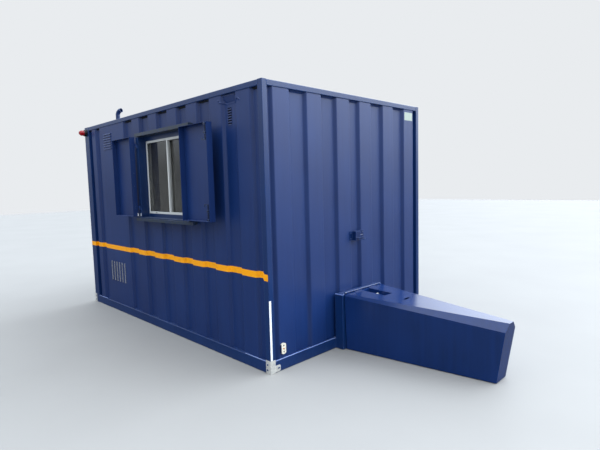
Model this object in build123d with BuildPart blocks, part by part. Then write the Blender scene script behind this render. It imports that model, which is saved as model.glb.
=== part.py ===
from build123d import *
import os
from math import cos, floor, radians, sin, tan

# Portable steel site cabin, standing on its base frame.
# Millimetres. X runs along the cabin with the drawbar at +X, the window side faces -Y,
# Z is up, and the origin is at the middle of the footprint on the ground.

os.makedirs("parts", exist_ok=True)

# Overall frame
cabin_length = 3660
cabin_width = 2270
cabin_height = 2340
frame_depth = 52
near_post_width = 55
far_post_width = 135
post_corner_radius = 5
rail_corner_radius = 6
top_rail_height = 48
bottom_rail_height = 96

# Folded wall sheet
sheet_thickness = 2
crest_setback = 6
wave_depth = 28
crest_width = 180
slope_run = 24
bend_easing = 4
end_centre_pitch = 333
end_pitch = 384
front_first_gap = 162
front_crest_steps = (386, 386, 361, 402, 391)
vent_panel_step = 396
vent_panel_gap = 475
far_crest_gap = 224
far_crest_width = 115
back_pitch = 386

# Floor, roof and linings
deck_thickness = 18
cross_member_pitch = 410
cross_member_width = 60
channel_wall = 4
roof_drop = 2
roof_wave_depth = 14
roof_pitch = 373
lining_thickness = 12
board_gap = 3
ceiling_bearing = 10

# Vents in the window wall: punched slots beside the first crest, a bank of pressed louvres high on
# the wide panel and a row of upright louvres low down on it. A louvre's two folds, at its nose and
# its back, lie at shares of its projection and of its rise.
slot_vent_offset = 19
slot_vent_drop = 115
slot_vent_width = 54
slot_vent_height = 10
slot_vent_pitch = 21
slot_vent_count = 7
louvre_projection = 9
louvre_nose_out = 0.9
louvre_nose_up = 0.45
louvre_back_out = 0.55
louvre_back_up = 0.85
high_vent_place = 233
high_vent_drop = 106
high_vent_width = 220
high_vent_rise = 16
high_vent_pitch = 29
high_vent_count = 7
low_vent_place = 156
low_vent_bottom = 377
low_vent_height = 248
low_vent_rise = 32
low_vent_pitch = 74
low_vent_count = 6
vent_panel_margin = 75

# Window and its steel surround
window_centre = 333
window_drop = 220
opening_width = 905
opening_height = 857
surround_face = 50
surround_projection = 80
surround_plate = 4
head_height = 40
head_lip = 12
head_overhang_left = 4
head_overhang_right = 70
head_fall = 8
sill_height = 37
sill_lip = 24
sill_fall = 10
sill_overhang_left = 32
sill_overhang_right = 100
strip_depth = 36
frame_side_margin = 14.5
frame_top_margin = 50
frame_bottom_margin = 37
white_frame_face = 24
white_frame_depth = 46
white_frame_bevel = 3
sash_stile = 24
sash_stile_offset = 6
sash_depth = 18
sash_gap = 9
glass_thickness = 4

# Shutters
leaf_bottom_gap = 10
leaf_top_gap = 6
leaf_depth = 57
leaf_plate = 3
leaf_gap = 6
meeting_gap = 10
pin_inset = 24
pin_stand_off = 8
pin_diameter = 7
knuckle_diameter = 14
skin_proud = 1
knuckle_length = 45
knuckle_inset = 70
strap_thickness = 4
strap_lap = 30
running_gap = 0.3
tower_bolt_length = 150
tower_bolt_edge = 17.5
tower_bolt_body = 100
tower_bolt_packer = 50
tower_bolt_packer_width = 26
tower_bolt_rod = 12
tower_bolt_seat = 1
tower_bolt_guide = 20
tower_bolt_guide_width = 24
tower_bolt_guide_height = 14
tower_bolt_guide_pitch = 76
tower_bolt_handle_reach = 55
tower_bolt_handle_width = 10
tower_bolt_handle_thickness = 6
tower_bolt_hook = 16

# Door in the far long wall
door_centre = -900
door_clear_width = 860
over_door_height = 196
door_frame_face = 40
door_frame_projection = 10
door_gap = 4
door_stop = 15
door_panel_border = 70
door_panel_sink = 4
door_hinge_length = 90
door_hinge_diameter = 16
door_hinge_margin = 220
handle_height = 1050
handle_length = 125
handle_thickness = 18
handle_boss_diameter = 26
handle_stand_off = 48
handle_plate_width = 42
handle_plate_height = 210
handle_plate_thickness = 6

# Drawbar cover and what it covers
drawbar_offset = -32
neck_length = 88
neck_overhang = 18
neck_step = 8
hood_gap = 10
hood_length = 1291
hood_lean = 72
hood_clearance = 6
hood_plate = 4
hood_wall_half_width = 282
hood_wall_side_lean = 20
hood_wall_top_height = 521
hood_wall_shoulder = 16
hood_nose_half_width = 95
hood_nose_top_height = 467
hood_nose_shoulder_drop = 58
recess_start = 24
recess_length = 262
recess_width = 122
recess_depth = 45
recess_corner = 8
staple_bar = 10
staple_width = 40
staple_height = 26
slot_distance = 470
slot_width = 82
slot_length = 26
hinge_rod = 8
hinge_knuckle = 16
hinge_lift = 9
hinge_leaf = 40
hinge_leaf_thickness = 4
hinge_tab = 32
hinge_segments = 5
hinge_joint_gap = 2
catch_width = 70
catch_height = 88
catch_projection = 51
catch_plate = 6
catch_plate_lap = 30
catch_rise = 24
catch_pin_diameter = 12
catch_pin_length = 62
tongue_width = 40
tongue_thickness = 8
tongue_reach = 132
drawbar_rail_width = 60
drawbar_rail_height = 100
drawbar_level = 230
drawbar_side_gap = 32
drawbar_head_spread = 52
drawbar_head_thickness = 12
eye_outer = 100
eye_bore = 50
eye_thickness = 30
eye_shank_length = 113
eye_shank_width = 60
eye_from_nose = 134

# Fittings
plate_height = 110
plate_thickness = 3
plate_reach = 50
plate_hole = 9
plate_hole_low = 26
plate_hole_high = 82
lug_reach = 104
lug_low = 6
lug_height = 54
lug_corner = 14
pipe_diameter = 51
pipe_wall = 3
pipe_rise = 110
pipe_bend_radius = 58
pipe_bend_angle = 80
pipe_mitres = 3
pipe_tail = 26
pipe_turn = 23
pipe_rib = 3
pipe_from_side = 156
pipe_flange = 100
pipe_flange_thickness = 6
lamp_from_end = 60
lamp_drop = 72
lamp_base_diameter = 84
lamp_base_depth = 30
lamp_lens_diameter = 70
lamp_lens_depth = 62
lamp_lens_crown = 24
lamp_lens_taper = 35
lamp_lens_ribs = 24
marker_width = 62
marker_height = 91
marker_depth = 14
marker_corner = 28
marker_above_rail = 40

# Values that follow from the sizes above
half_length = cabin_length / 2
half_width = cabin_width / 2
wall_bottom = bottom_rail_height
wall_top = cabin_height - top_rail_height
wall_height = wall_top - wall_bottom
valley_setback = crest_setback + wave_depth
sheet_back = valley_setback + sheet_thickness
deck_top = bottom_rail_height + deck_thickness
ceiling_bottom = wall_top - lining_thickness
front_face = -half_width
near_post_inner = half_length - near_post_width
far_post_inner = -half_length + far_post_width


def write(piece, name):
    """Label a finished piece and write it as its own STEP file."""
    piece.part.label = name
    export_step(piece.part, f"parts/{name}.step")


def wall_plane(outward):
    """A level plane on a wall's outer face: local x runs along the wall, local y points inwards."""
    if abs(outward.X) > 0.5:
        origin = (outward.X * half_length, 0, 0)
    else:
        origin = (0, outward.Y * half_width, 0)
    along = Vector(0, 0, 1).cross(outward)
    return Plane(origin=origin, x_dir=along, z_dir=(0, 0, 1))


front_plane = wall_plane(Vector(0, -1, 0))
back_plane = wall_plane(Vector(0, 1, 0))
drawbar_end_plane = wall_plane(Vector(1, 0, 0))
far_end_plane = wall_plane(Vector(-1, 0, 0))


def wave_points(start, end, crests, depth):
    """Corners of a folded sheet's outer line: crests at 0, valleys at the wave's depth."""
    points = [(start, depth)]
    for low, high in crests:
        points += [(low - slope_run, depth), (low, 0), (high, 0), (high + slope_run, depth)]
    points.append((end, depth))
    return points


def eased_line(points):
    """The folded line with each fold eased by a short flat, as a press brake leaves it."""
    eased = [Vector(*points[0])]
    for index in range(1, len(points) - 1):
        corner = Vector(*points[index])
        for neighbour in (points[index - 1], points[index + 1]):
            eased.append(corner + (Vector(*neighbour) - corner).normalized() * bend_easing)
    return eased + [Vector(*points[-1])]


def folded_sheet(points, setback):
    """The sheet's cross-section, set back from the frame's face."""
    with BuildSketch() as section:
        with BuildLine():
            Polyline(*eased_line([(x, y + setback) for x, y in points]))
            offset(amount=sheet_thickness, side=Side.LEFT, kind=Kind.INTERSECTION)
        make_face()
    return section.sketch


def centred_crests(first, pitch, limit):
    """Crests of one width laid out both ways from the middle of a wall."""
    centres = []
    place = first
    while place + crest_width / 2 + slope_run < limit:
        centres += [-place, place]
        place += pitch
    return [(c - crest_width / 2, c + crest_width / 2) for c in sorted(centres)]


# Crests of the window wall, read from the drawbar end: equal crests, then the wide flat vent panel,
# then one narrow crest beside the far post
right_edges = [half_length - front_first_gap]
vent_panel_start = -half_length + vent_panel_gap
vent_panel_least = low_vent_count * low_vent_pitch + 2 * vent_panel_margin
for step in front_crest_steps:
    if right_edges[-1] - step - vent_panel_step - vent_panel_start >= vent_panel_least:
        right_edges.append(right_edges[-1] - step)
front_crests = [(edge - crest_width, edge) for edge in right_edges]
vent_panel = (vent_panel_start, right_edges[-1] - vent_panel_step)
far_crest = (-half_length + far_crest_gap, -half_length + far_crest_gap + far_crest_width)
front_crests = sorted(front_crests + [vent_panel, far_crest])
end_crests = centred_crests(end_centre_pitch / 2, end_pitch, half_width - frame_depth)
back_crests = centred_crests(back_pitch / 2, back_pitch, near_post_inner)

front_section = folded_sheet(
    wave_points(far_post_inner, near_post_inner, front_crests, wave_depth), crest_setback
)
end_section = folded_sheet(
    wave_points(-half_width + frame_depth, half_width - frame_depth, end_crests, wave_depth),
    crest_setback,
)
back_section = folded_sheet(
    wave_points(-near_post_inner, -far_post_inner, back_crests, wave_depth), crest_setback
)


# Corner posts
def corner_posts(inner, outer):
    """Two posts of one end, with their upright edges rounded."""
    with BuildPart() as posts:
        with BuildSketch():
            for side in (-1, 1):
                with Locations(((inner + outer) / 2, side * (half_width - frame_depth / 2))):
                    Rectangle(abs(outer - inner), frame_depth)
        extrude(amount=cabin_height)
        fillet(posts.edges().filter_by(Axis.Z), radius=post_corner_radius)
    return posts


corner_posts_drawbar_end = corner_posts(near_post_inner, half_length)
write(corner_posts_drawbar_end, "corner_posts_drawbar_end")
corner_posts_far_end = corner_posts(far_post_inner, -half_length)
write(corner_posts_far_end, "corner_posts_far_end")


# Rails between the posts
rail_middle = (near_post_inner + far_post_inner) / 2


def side_rails(low, high):
    """The pair of long rails at one level."""
    with BuildPart() as rails:
        with BuildSketch(Plane.XY.offset(low)):
            for side in (-1, 1):
                with Locations((rail_middle, side * (half_width - frame_depth / 2))):
                    Rectangle(near_post_inner - far_post_inner, frame_depth)
        extrude(amount=high - low)
        fillet(rails.edges().filter_by(Axis.X), radius=rail_corner_radius)
    return rails


def end_rails(low, high):
    """The pair of short rails at one level."""
    with BuildPart() as rails:
        with BuildSketch(Plane.XY.offset(low)):
            for side, depth in ((-1, frame_depth), (1, near_post_width)):
                with Locations((side * (half_length - depth / 2), 0)):
                    Rectangle(depth, cabin_width - 2 * frame_depth)
        extrude(amount=high - low)
        fillet(rails.edges().filter_by(Axis.Y), radius=rail_corner_radius)
    return rails


top_side_rails = side_rails(wall_top, cabin_height)
write(top_side_rails, "top_side_rails")
top_end_rails = end_rails(wall_top, cabin_height)
write(top_end_rails, "top_end_rails")
bottom_side_rails = side_rails(0, bottom_rail_height)
write(bottom_side_rails, "bottom_side_rails")
bottom_end_rails = end_rails(0, bottom_rail_height)
write(bottom_end_rails, "bottom_end_rails")

# Floor frame: channels laid across between the bottom side rails
clear_floor_width = cabin_width - 2 * frame_depth
cross_member_count = 2 * floor((near_post_inner - cross_member_width) / cross_member_pitch) + 1
with BuildPart() as floor_cross_members:
    with BuildSketch(Plane.XZ.offset(-clear_floor_width / 2)):
        with GridLocations(cross_member_pitch, 0, cross_member_count, 1):
            with Locations((0, bottom_rail_height / 2)):
                Rectangle(cross_member_width, bottom_rail_height)
            with Locations((channel_wall, bottom_rail_height / 2)):
                Rectangle(
                    cross_member_width, bottom_rail_height - 2 * channel_wall, mode=Mode.SUBTRACT
                )
    extrude(amount=clear_floor_width)
write(floor_cross_members, "floor_cross_members")

deck_start = -half_length + frame_depth
deck_end = near_post_inner
with BuildPart() as floor_deck:
    with BuildSketch(Plane.XY.offset(bottom_rail_height)):
        with Locations(((deck_start + deck_end) / 2, 0)):
            Rectangle(deck_end - deck_start, clear_floor_width)
        for side in (-1, 1):
            with Locations(((deck_start + far_post_inner) / 2, side * (half_width - frame_depth / 2))):
                Rectangle(far_post_inner - deck_start, frame_depth, mode=Mode.SUBTRACT)
    extrude(amount=deck_thickness)
write(floor_deck, "floor_deck")

# Roof: a ribbed sheet with its ribs across the cabin, welded inside the top rails
roof_crests = []
roof_place = 0
while roof_place + crest_width / 2 + slope_run < near_post_inner:
    roof_crests += sorted({-roof_place, roof_place})
    roof_place += roof_pitch
roof_crests = [(c - crest_width / 2, c + crest_width / 2) for c in sorted(roof_crests)]
roof_start = -half_length + frame_depth
roof_top = cabin_height - roof_drop
with BuildPart() as roof_sheet:
    with BuildSketch(Plane.XZ.offset(-clear_floor_width / 2)):
        roof_line = wave_points(roof_start, near_post_inner, roof_crests, roof_wave_depth)
        with BuildLine():
            Polyline(*eased_line([(x, roof_top - y) for x, y in roof_line]))
            offset(amount=sheet_thickness, side=Side.RIGHT, kind=Kind.INTERSECTION)
        make_face()
    extrude(amount=clear_floor_width)
write(roof_sheet, "roof_sheet")

# Ceiling board, carried under the top rails
ceiling_reach = frame_depth - ceiling_bearing
with BuildPart() as ceiling_panel:
    with BuildSketch(Plane.XY.offset(ceiling_bottom)):
        with Locations(((far_post_inner + near_post_inner) / 2, 0)):
            Rectangle(near_post_inner - far_post_inner, cabin_width - 2 * ceiling_reach)
    extrude(amount=lining_thickness)
write(ceiling_panel, "ceiling_panel")

# Window wall: the folded sheet is split beside, under and over the window
opening_top = wall_top - window_drop
opening_bottom = opening_top - opening_height
surround_left = window_centre - opening_width / 2 - surround_face
surround_right = window_centre + opening_width / 2 + surround_face
surround_bottom = opening_bottom - sill_height
surround_top = opening_top + head_height


def wall_piece(plane, section, low_x, high_x, low_z, high_z):
    """A stretch of a folded wall sheet between two places along the wall and two levels."""
    with BuildPart() as piece:
        with BuildSketch(plane.offset(low_z)):
            add(section)
            with Locations(((low_x + high_x) / 2, frame_depth / 2)):
                Rectangle(high_x - low_x, frame_depth, mode=Mode.INTERSECT)
        extrude(amount=high_z - low_z)
    return piece


def louvre_profile(rise, inset):
    """Section of one louvre, open on its first side; with an inset, the space under it and its slot."""
    out = louvre_projection - inset
    back = -2 * inset
    with BuildSketch() as profile:
        Polygon(
            (back, 0),
            (out, 0),
            (out * louvre_nose_out, (rise - inset) * louvre_nose_up),
            (out * louvre_back_out, (rise - inset) * louvre_back_up),
            (0, rise - inset),
            (back, rise - inset),
            align=None,
        )
    return profile.sketch


def louvres(plane, face, places, length, rise, inset):
    """Hoods, or the spaces under them, at places along a plane whose x points out of the wall."""
    profile = louvre_profile(rise, inset)
    with BuildPart() as row:
        with BuildSketch(plane.offset(inset)):
            with Locations(*[(face, place) for place in places]):
                add(profile)
        extrude(amount=length - 2 * inset)
    return row.part


def across(high_x):
    """Plane across the window wall: local x points out of the wall, local y up."""
    return Plane(origin=(high_x, 0, 0), x_dir=(0, -1, 0), z_dir=(-1, 0, 0))


crest_out = half_width - crest_setback
valley_out = half_width - valley_setback
high_vent_edge = vent_panel[0] + high_vent_place + high_vent_width / 2
high_vent_levels = [
    wall_top - high_vent_drop - index * high_vent_pitch for index in range(high_vent_count)
]
# The upright louvres open towards the drawbar end: local y of their plane points away from it
low_vent_places = [
    -vent_panel[0] - low_vent_place - index * low_vent_pitch for index in range(low_vent_count)
]
low_vent_plane = Plane(
    origin=(0, 0, low_vent_bottom + low_vent_height), x_dir=(0, -1, 0), z_dir=(0, 0, -1)
)
with BuildPart() as front_wall_left:
    add(
        wall_piece(
            front_plane, front_section, far_post_inner, surround_left, wall_bottom, wall_top
        ).part
    )
    for plane, places, length, rise in (
        (low_vent_plane, low_vent_places, low_vent_height, low_vent_rise),
        (across(high_vent_edge), high_vent_levels, high_vent_width, high_vent_rise),
    ):
        add(louvres(plane, crest_out, places, length, rise, 0))
        add(louvres(plane, crest_out, places, length, rise, sheet_thickness), mode=Mode.SUBTRACT)
write(front_wall_left, "front_wall_left")

slot_vent_centre = (right_edges[0] - crest_width + right_edges[1]) / 2 - slot_vent_offset
slot_vent_low = wall_top - slot_vent_drop - (slot_vent_count - 1) * slot_vent_pitch
with BuildPart() as front_wall_right:
    add(
        wall_piece(
            front_plane, front_section, surround_right, near_post_inner, wall_bottom, wall_top
        ).part
    )
    with BuildSketch(Plane.XZ.offset(valley_out)):
        with Locations((slot_vent_centre, (slot_vent_low + wall_top - slot_vent_drop) / 2)):
            with GridLocations(0, slot_vent_pitch, 1, slot_vent_count):
                Rectangle(slot_vent_width, slot_vent_height)
    extrude(amount=-sheet_thickness, mode=Mode.SUBTRACT)
write(front_wall_right, "front_wall_right")
front_wall_under_window = wall_piece(
    front_plane, front_section, surround_left, surround_right, wall_bottom, surround_bottom
)
write(front_wall_under_window, "front_wall_under_window")
front_wall_over_window = wall_piece(
    front_plane, front_section, surround_left, surround_right, surround_top, wall_top
)
write(front_wall_over_window, "front_wall_over_window")

# End walls
end_reach = half_width - frame_depth
drawbar_end_wall = wall_piece(
    drawbar_end_plane, end_section, -end_reach, end_reach, wall_bottom, wall_top
)
write(drawbar_end_wall, "drawbar_end_wall")
far_end_wall = wall_piece(far_end_plane, end_section, -end_reach, end_reach, wall_bottom, wall_top)
write(far_end_wall, "far_end_wall")

# Back wall, split beside and over the door; its plane's x runs the other way
door_left = door_centre - door_clear_width / 2 - door_frame_face
door_right = door_centre + door_clear_width / 2 + door_frame_face
door_head = wall_top - over_door_height
door_clear_height = door_head - door_frame_face - wall_bottom
back_wall_left = wall_piece(
    back_plane, back_section, -door_left, -far_post_inner, wall_bottom, wall_top
)
write(back_wall_left, "back_wall_left")
back_wall_right = wall_piece(
    back_plane, back_section, -near_post_inner, -door_right, wall_bottom, wall_top
)
write(back_wall_right, "back_wall_right")
back_wall_over_door = wall_piece(
    back_plane, back_section, -door_right, -door_left, door_head, wall_top
)
write(back_wall_over_door, "back_wall_over_door")

# Linings: boards on the inner faces of the posts and rails, a small gap between boards
lining_face = half_width - frame_depth
lining_back = lining_face - lining_thickness
lining_start = -half_length + frame_depth + lining_thickness
lining_end = near_post_inner - lining_thickness
lining_height = ceiling_bottom - deck_top
reveal_left = window_centre - opening_width / 2 - surround_plate
reveal_right = window_centre + opening_width / 2 + surround_plate
reveal_bottom = opening_bottom - surround_plate
reveal_top = opening_top + surround_plate


def boards(plane, rectangles):
    """Lining boards in an upright plane, each given by its two opposite corners."""
    with BuildPart() as lining:
        with BuildSketch(plane):
            for low_x, low_z, high_x, high_z in rectangles:
                with Locations(((low_x + high_x) / 2, (low_z + high_z) / 2)):
                    Rectangle(high_x - low_x, high_z - low_z)
        extrude(amount=lining_thickness)
    return lining


front_lining = boards(
    Plane.XZ.offset(lining_back),
    [
        (lining_start, deck_top, reveal_left - board_gap, ceiling_bottom),
        (reveal_right + board_gap, deck_top, lining_end, ceiling_bottom),
        (reveal_left, deck_top, reveal_right, reveal_bottom),
        (reveal_left, reveal_top, reveal_right, ceiling_bottom),
    ],
)
write(front_lining, "front_lining")
back_lining = boards(
    Plane.XZ.offset(-lining_face),
    [
        (lining_start, deck_top, door_left - board_gap, ceiling_bottom),
        (door_right + board_gap, deck_top, lining_end, ceiling_bottom),
        (door_left, door_head, door_right, ceiling_bottom),
    ],
)
write(back_lining, "back_lining")
with BuildPart() as end_linings:
    with BuildSketch(Plane.XY.offset(deck_top)):
        with Locations((lining_start - lining_thickness / 2, 0), (lining_end + lining_thickness / 2, 0)):
            Rectangle(lining_thickness, 2 * lining_face)
    extrude(amount=lining_height)
write(end_linings, "end_linings")

# Window surround: a welded steel box through the wall, with wide jambs, a drip head and a sill
opening_mid = (opening_top + opening_bottom) / 2
jamb_front = half_width + surround_projection
reveal_depth = surround_projection + frame_depth + lining_thickness
white_frame_width = opening_width - 2 * frame_side_margin
white_frame_bottom = opening_bottom + frame_bottom_margin
white_frame_top = opening_top - frame_top_margin
white_frame_mid = (white_frame_bottom + white_frame_top) / 2
white_frame_height = white_frame_top - white_frame_bottom
head_front = jamb_front + head_lip
sill_front = jamb_front + sill_lip
with BuildPart() as window_surround:
    # Jambs: the wide front faces, and the sides that close them back to the wall
    with BuildSketch(Plane.XZ.offset(jamb_front)):
        with Locations((window_centre, opening_mid - sill_fall / 2)):
            Rectangle(opening_width + 2 * surround_face, opening_height + sill_fall)
            Rectangle(opening_width, opening_height + sill_fall, mode=Mode.SUBTRACT)
    extrude(amount=-surround_projection - sheet_back)
    # Thin reveal through the wall to the inner face of the lining
    with BuildSketch(Plane.XZ.offset(jamb_front)):
        with Locations((window_centre, opening_mid)):
            Rectangle(opening_width + 2 * surround_plate, opening_height + 2 * surround_plate)
            Rectangle(opening_width, opening_height, mode=Mode.SUBTRACT)
    extrude(amount=-reveal_depth)
    # Drip head: its top falls outwards
    with BuildSketch(across(surround_right)):
        Polygon(
            (crest_out, opening_top),
            (head_front, opening_top),
            (head_front, surround_top - head_fall),
            (crest_out, surround_top),
            align=None,
        )
    extrude(amount=surround_right - surround_left)
    # Sill with a top that falls outwards
    with BuildSketch(across(surround_right)):
        Polygon(
            (crest_out, opening_bottom),
            (half_width, opening_bottom),
            (sill_front, opening_bottom - sill_fall),
            (sill_front, surround_bottom),
            (crest_out, surround_bottom),
            align=None,
        )
    extrude(amount=surround_right - surround_left)
    # Folded strips along the fronts of head and sill, longer than the window
    for low_x, high_x, front, low_z, high_z in (
        (
            surround_left - head_overhang_left,
            surround_right + head_overhang_right,
            head_front,
            opening_top,
            surround_top - head_fall,
        ),
        (
            surround_left - sill_overhang_left,
            surround_right + sill_overhang_right,
            sill_front,
            surround_bottom,
            opening_bottom - sill_fall,
        ),
    ):
        with BuildSketch(Plane.XZ.offset(front)):
            with Locations(((low_x + high_x) / 2, (low_z + high_z) / 2)):
                Rectangle(high_x - low_x, high_z - low_z)
        extrude(amount=-strip_depth)
    # Back of head and sill inside the line of the wall sheet
    with BuildSketch(Plane.XZ.offset(half_width)):
        with Locations((window_centre, (surround_top + surround_bottom) / 2)):
            Rectangle(surround_right - surround_left, surround_top - surround_bottom)
        with Locations((window_centre, opening_mid)):
            Rectangle(opening_width, opening_height, mode=Mode.SUBTRACT)
    extrude(amount=-sheet_back)
    # Filler plate round the white frame
    with BuildSketch(Plane.XZ.offset(half_width - surround_plate)):
        with Locations((window_centre, opening_mid)):
            Rectangle(opening_width, opening_height)
        with Locations((window_centre, white_frame_mid)):
            Rectangle(white_frame_width, white_frame_height, mode=Mode.SUBTRACT)
    extrude(amount=surround_plate)
write(window_surround, "window_surround")

# White window: outer frame with a front stile and a rear stile where the sliding sashes meet
frame_front = half_width + running_gap
stile_height = white_frame_height - 2 * white_frame_face
front_pane_plane = frame_front - sash_depth / 2
rear_sash_front = frame_front - sash_depth - sash_gap
rear_pane_plane = rear_sash_front - sash_depth / 2
stile_centre = window_centre + sash_stile_offset
with BuildPart() as window_frame:
    with BuildSketch(Plane.XZ.offset(frame_front - white_frame_depth)):
        with Locations((window_centre, white_frame_mid)):
            Rectangle(white_frame_width, white_frame_height)
            Rectangle(
                white_frame_width - 2 * white_frame_face,
                white_frame_height - 2 * white_frame_face,
                mode=Mode.SUBTRACT,
            )
    extrude(amount=white_frame_depth)
    with BuildSketch(Plane.XZ.offset(frame_front - sash_depth)):
        with Locations((stile_centre, white_frame_mid)):
            Rectangle(sash_stile, stile_height)
    extrude(amount=sash_depth)
    with BuildSketch(Plane.XZ.offset(rear_sash_front - sash_depth)):
        with Locations((stile_centre, white_frame_mid)):
            Rectangle(sash_stile, stile_height)
    extrude(amount=sash_depth)
    # Weathering bevels on every edge of the front face
    chamfer(window_frame.faces().sort_by(Axis.Y)[0].edges(), length=white_frame_bevel)
write(window_frame, "window_frame")

# Two panes, each between its frame side and its meeting stile
frame_left_inner = window_centre - white_frame_width / 2 + white_frame_face
frame_right_inner = window_centre + white_frame_width / 2 - white_frame_face
stile_left = stile_centre - sash_stile / 2
stile_right = stile_centre + sash_stile / 2
with BuildPart() as window_glass:
    with BuildSketch(Plane.XZ.offset(front_pane_plane - glass_thickness / 2)):
        with Locations(((frame_left_inner + stile_left) / 2, white_frame_mid)):
            Rectangle(stile_left - frame_left_inner, stile_height)
    extrude(amount=glass_thickness)
    with BuildSketch(Plane.XZ.offset(rear_pane_plane - glass_thickness / 2)):
        with Locations(((frame_right_inner + stile_right) / 2, white_frame_mid)):
            Rectangle(frame_right_inner - stile_right, stile_height)
    extrude(amount=glass_thickness)
write(window_glass, "window_glass")

# Shutters. Each leaf is a steel tray on lift-off hinges, drawn folded back beside the window.
# Closed, it lies inside the surround, with its flat skin flush with the jambs' front faces.
pin_distance = opening_width / 2 + pin_inset
pin_y = -half_width - surround_projection - pin_stand_off
leaf_edge = pin_inset + leaf_gap
leaf_bottom = opening_bottom + leaf_bottom_gap
leaf_top = opening_top - leaf_top_gap
leaf_width = pin_distance - leaf_edge - meeting_gap / 2
leaf_height = leaf_top - leaf_bottom
leaf_back = pin_y - pin_stand_off + skin_proud
knuckle_levels = (leaf_bottom + knuckle_inset, leaf_top - knuckle_inset - knuckle_length)
strap_reach = leaf_edge + strap_lap


def shutter(hinge_x, side):
    """One leaf, opened right back: its skin faces the wall and its tray faces out."""
    near_edge = hinge_x + side * leaf_edge
    middle = near_edge + side * leaf_width / 2
    level = (leaf_top + leaf_bottom) / 2
    with BuildPart() as leaf:
        with BuildSketch(Plane.XZ.offset(-leaf_back)):
            with Locations((middle, level)):
                Rectangle(leaf_width, leaf_height)
        extrude(amount=leaf_depth)
        with BuildSketch(Plane.XZ.offset(-leaf_back + leaf_plate)):
            with Locations((middle, level)):
                Rectangle(leaf_width - 2 * leaf_plate, leaf_height - 2 * leaf_plate)
        extrude(amount=leaf_depth, mode=Mode.SUBTRACT)
        for low in knuckle_levels:
            top_half = low + knuckle_length / 2 + running_gap
            with BuildSketch(Plane.XY.offset(top_half)):
                with Locations((hinge_x, pin_y)):
                    Circle(knuckle_diameter / 2)
                with Locations((hinge_x + side * strap_reach / 2, leaf_back + strap_thickness / 2)):
                    Rectangle(strap_reach, strap_thickness)
                with Locations((hinge_x, pin_y)):
                    Circle(pin_diameter / 2 + running_gap, mode=Mode.SUBTRACT)
            extrude(amount=knuckle_length / 2 - running_gap)
    return leaf


left_pin_x = window_centre - pin_distance
right_pin_x = window_centre + pin_distance
shutter_left = shutter(left_pin_x, -1)
write(shutter_left, "shutter_left")
shutter_right = shutter(right_pin_x, 1)
write(shutter_right, "shutter_right")

# Fixed halves of the shutter hinges: lower knuckles on a foot, with the pin standing up
with BuildPart() as shutter_hinge_posts:
    for hinge_x in (left_pin_x, right_pin_x):
        for low in knuckle_levels:
            with BuildSketch(Plane.XY.offset(low)):
                with Locations((hinge_x, pin_y)):
                    Circle(knuckle_diameter / 2)
                with Locations((hinge_x, pin_y + pin_stand_off / 2)):
                    Rectangle(knuckle_diameter, pin_stand_off)
            extrude(amount=knuckle_length / 2)
            with BuildSketch(Plane.XY.offset(low + knuckle_length / 2)):
                with Locations((hinge_x, pin_y)):
                    Circle(pin_diameter / 2)
            extrude(amount=knuckle_length / 2)
write(shutter_hinge_posts, "shutter_hinge_posts")

# Tower bolts of the leaf that closes first: at its top and foot, near its free edge. Each stands on
# a packer on the tray's floor, and the end of its rod is bent to a flat hooked handle.
bolt_x = right_pin_x + leaf_edge + leaf_width - tower_bolt_edge
packer_foot = -leaf_back + leaf_plate
packer_face = packer_foot + tower_bolt_packer
rod_level = packer_face + tower_bolt_rod / 2 - tower_bolt_seat
with BuildPart() as shutter_right_bolts:
    for outer, inwards in ((leaf_bottom + leaf_plate, 1), (leaf_top - leaf_plate, -1)):
        body_level = outer + inwards * tower_bolt_body / 2
        inner = outer + inwards * tower_bolt_length
        handle_level = inner - inwards * tower_bolt_rod / 2
        with BuildSketch(Plane.XZ.offset(packer_foot)):
            with Locations((bolt_x, body_level)):
                Rectangle(tower_bolt_packer_width, tower_bolt_body)
        extrude(amount=tower_bolt_packer)
        # Two guides that hold the rod down
        with BuildSketch(Plane.XZ.offset(packer_face)):
            with Locations((bolt_x, body_level)):
                with GridLocations(0, tower_bolt_guide_pitch, 1, 2):
                    Rectangle(tower_bolt_guide_width, tower_bolt_guide)
        extrude(amount=tower_bolt_guide_height)
        with BuildSketch(Plane.XY.offset(min(outer, inner))):
            with Locations((bolt_x, -rod_level)):
                Circle(tower_bolt_rod / 2)
        extrude(amount=tower_bolt_length)
        with BuildSketch(Plane.XZ.offset(rod_level - tower_bolt_handle_thickness / 2)):
            with Locations((bolt_x - tower_bolt_handle_reach / 2, handle_level)):
                Rectangle(tower_bolt_handle_reach, tower_bolt_handle_width)
            with Locations(
                (
                    bolt_x - tower_bolt_handle_reach + tower_bolt_handle_width / 2,
                    handle_level - inwards * tower_bolt_hook / 2,
                )
            ):
                Rectangle(tower_bolt_handle_width, tower_bolt_hook + tower_bolt_handle_width)
        extrude(amount=tower_bolt_handle_thickness)
write(shutter_right_bolts, "shutter_right_bolts")

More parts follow.
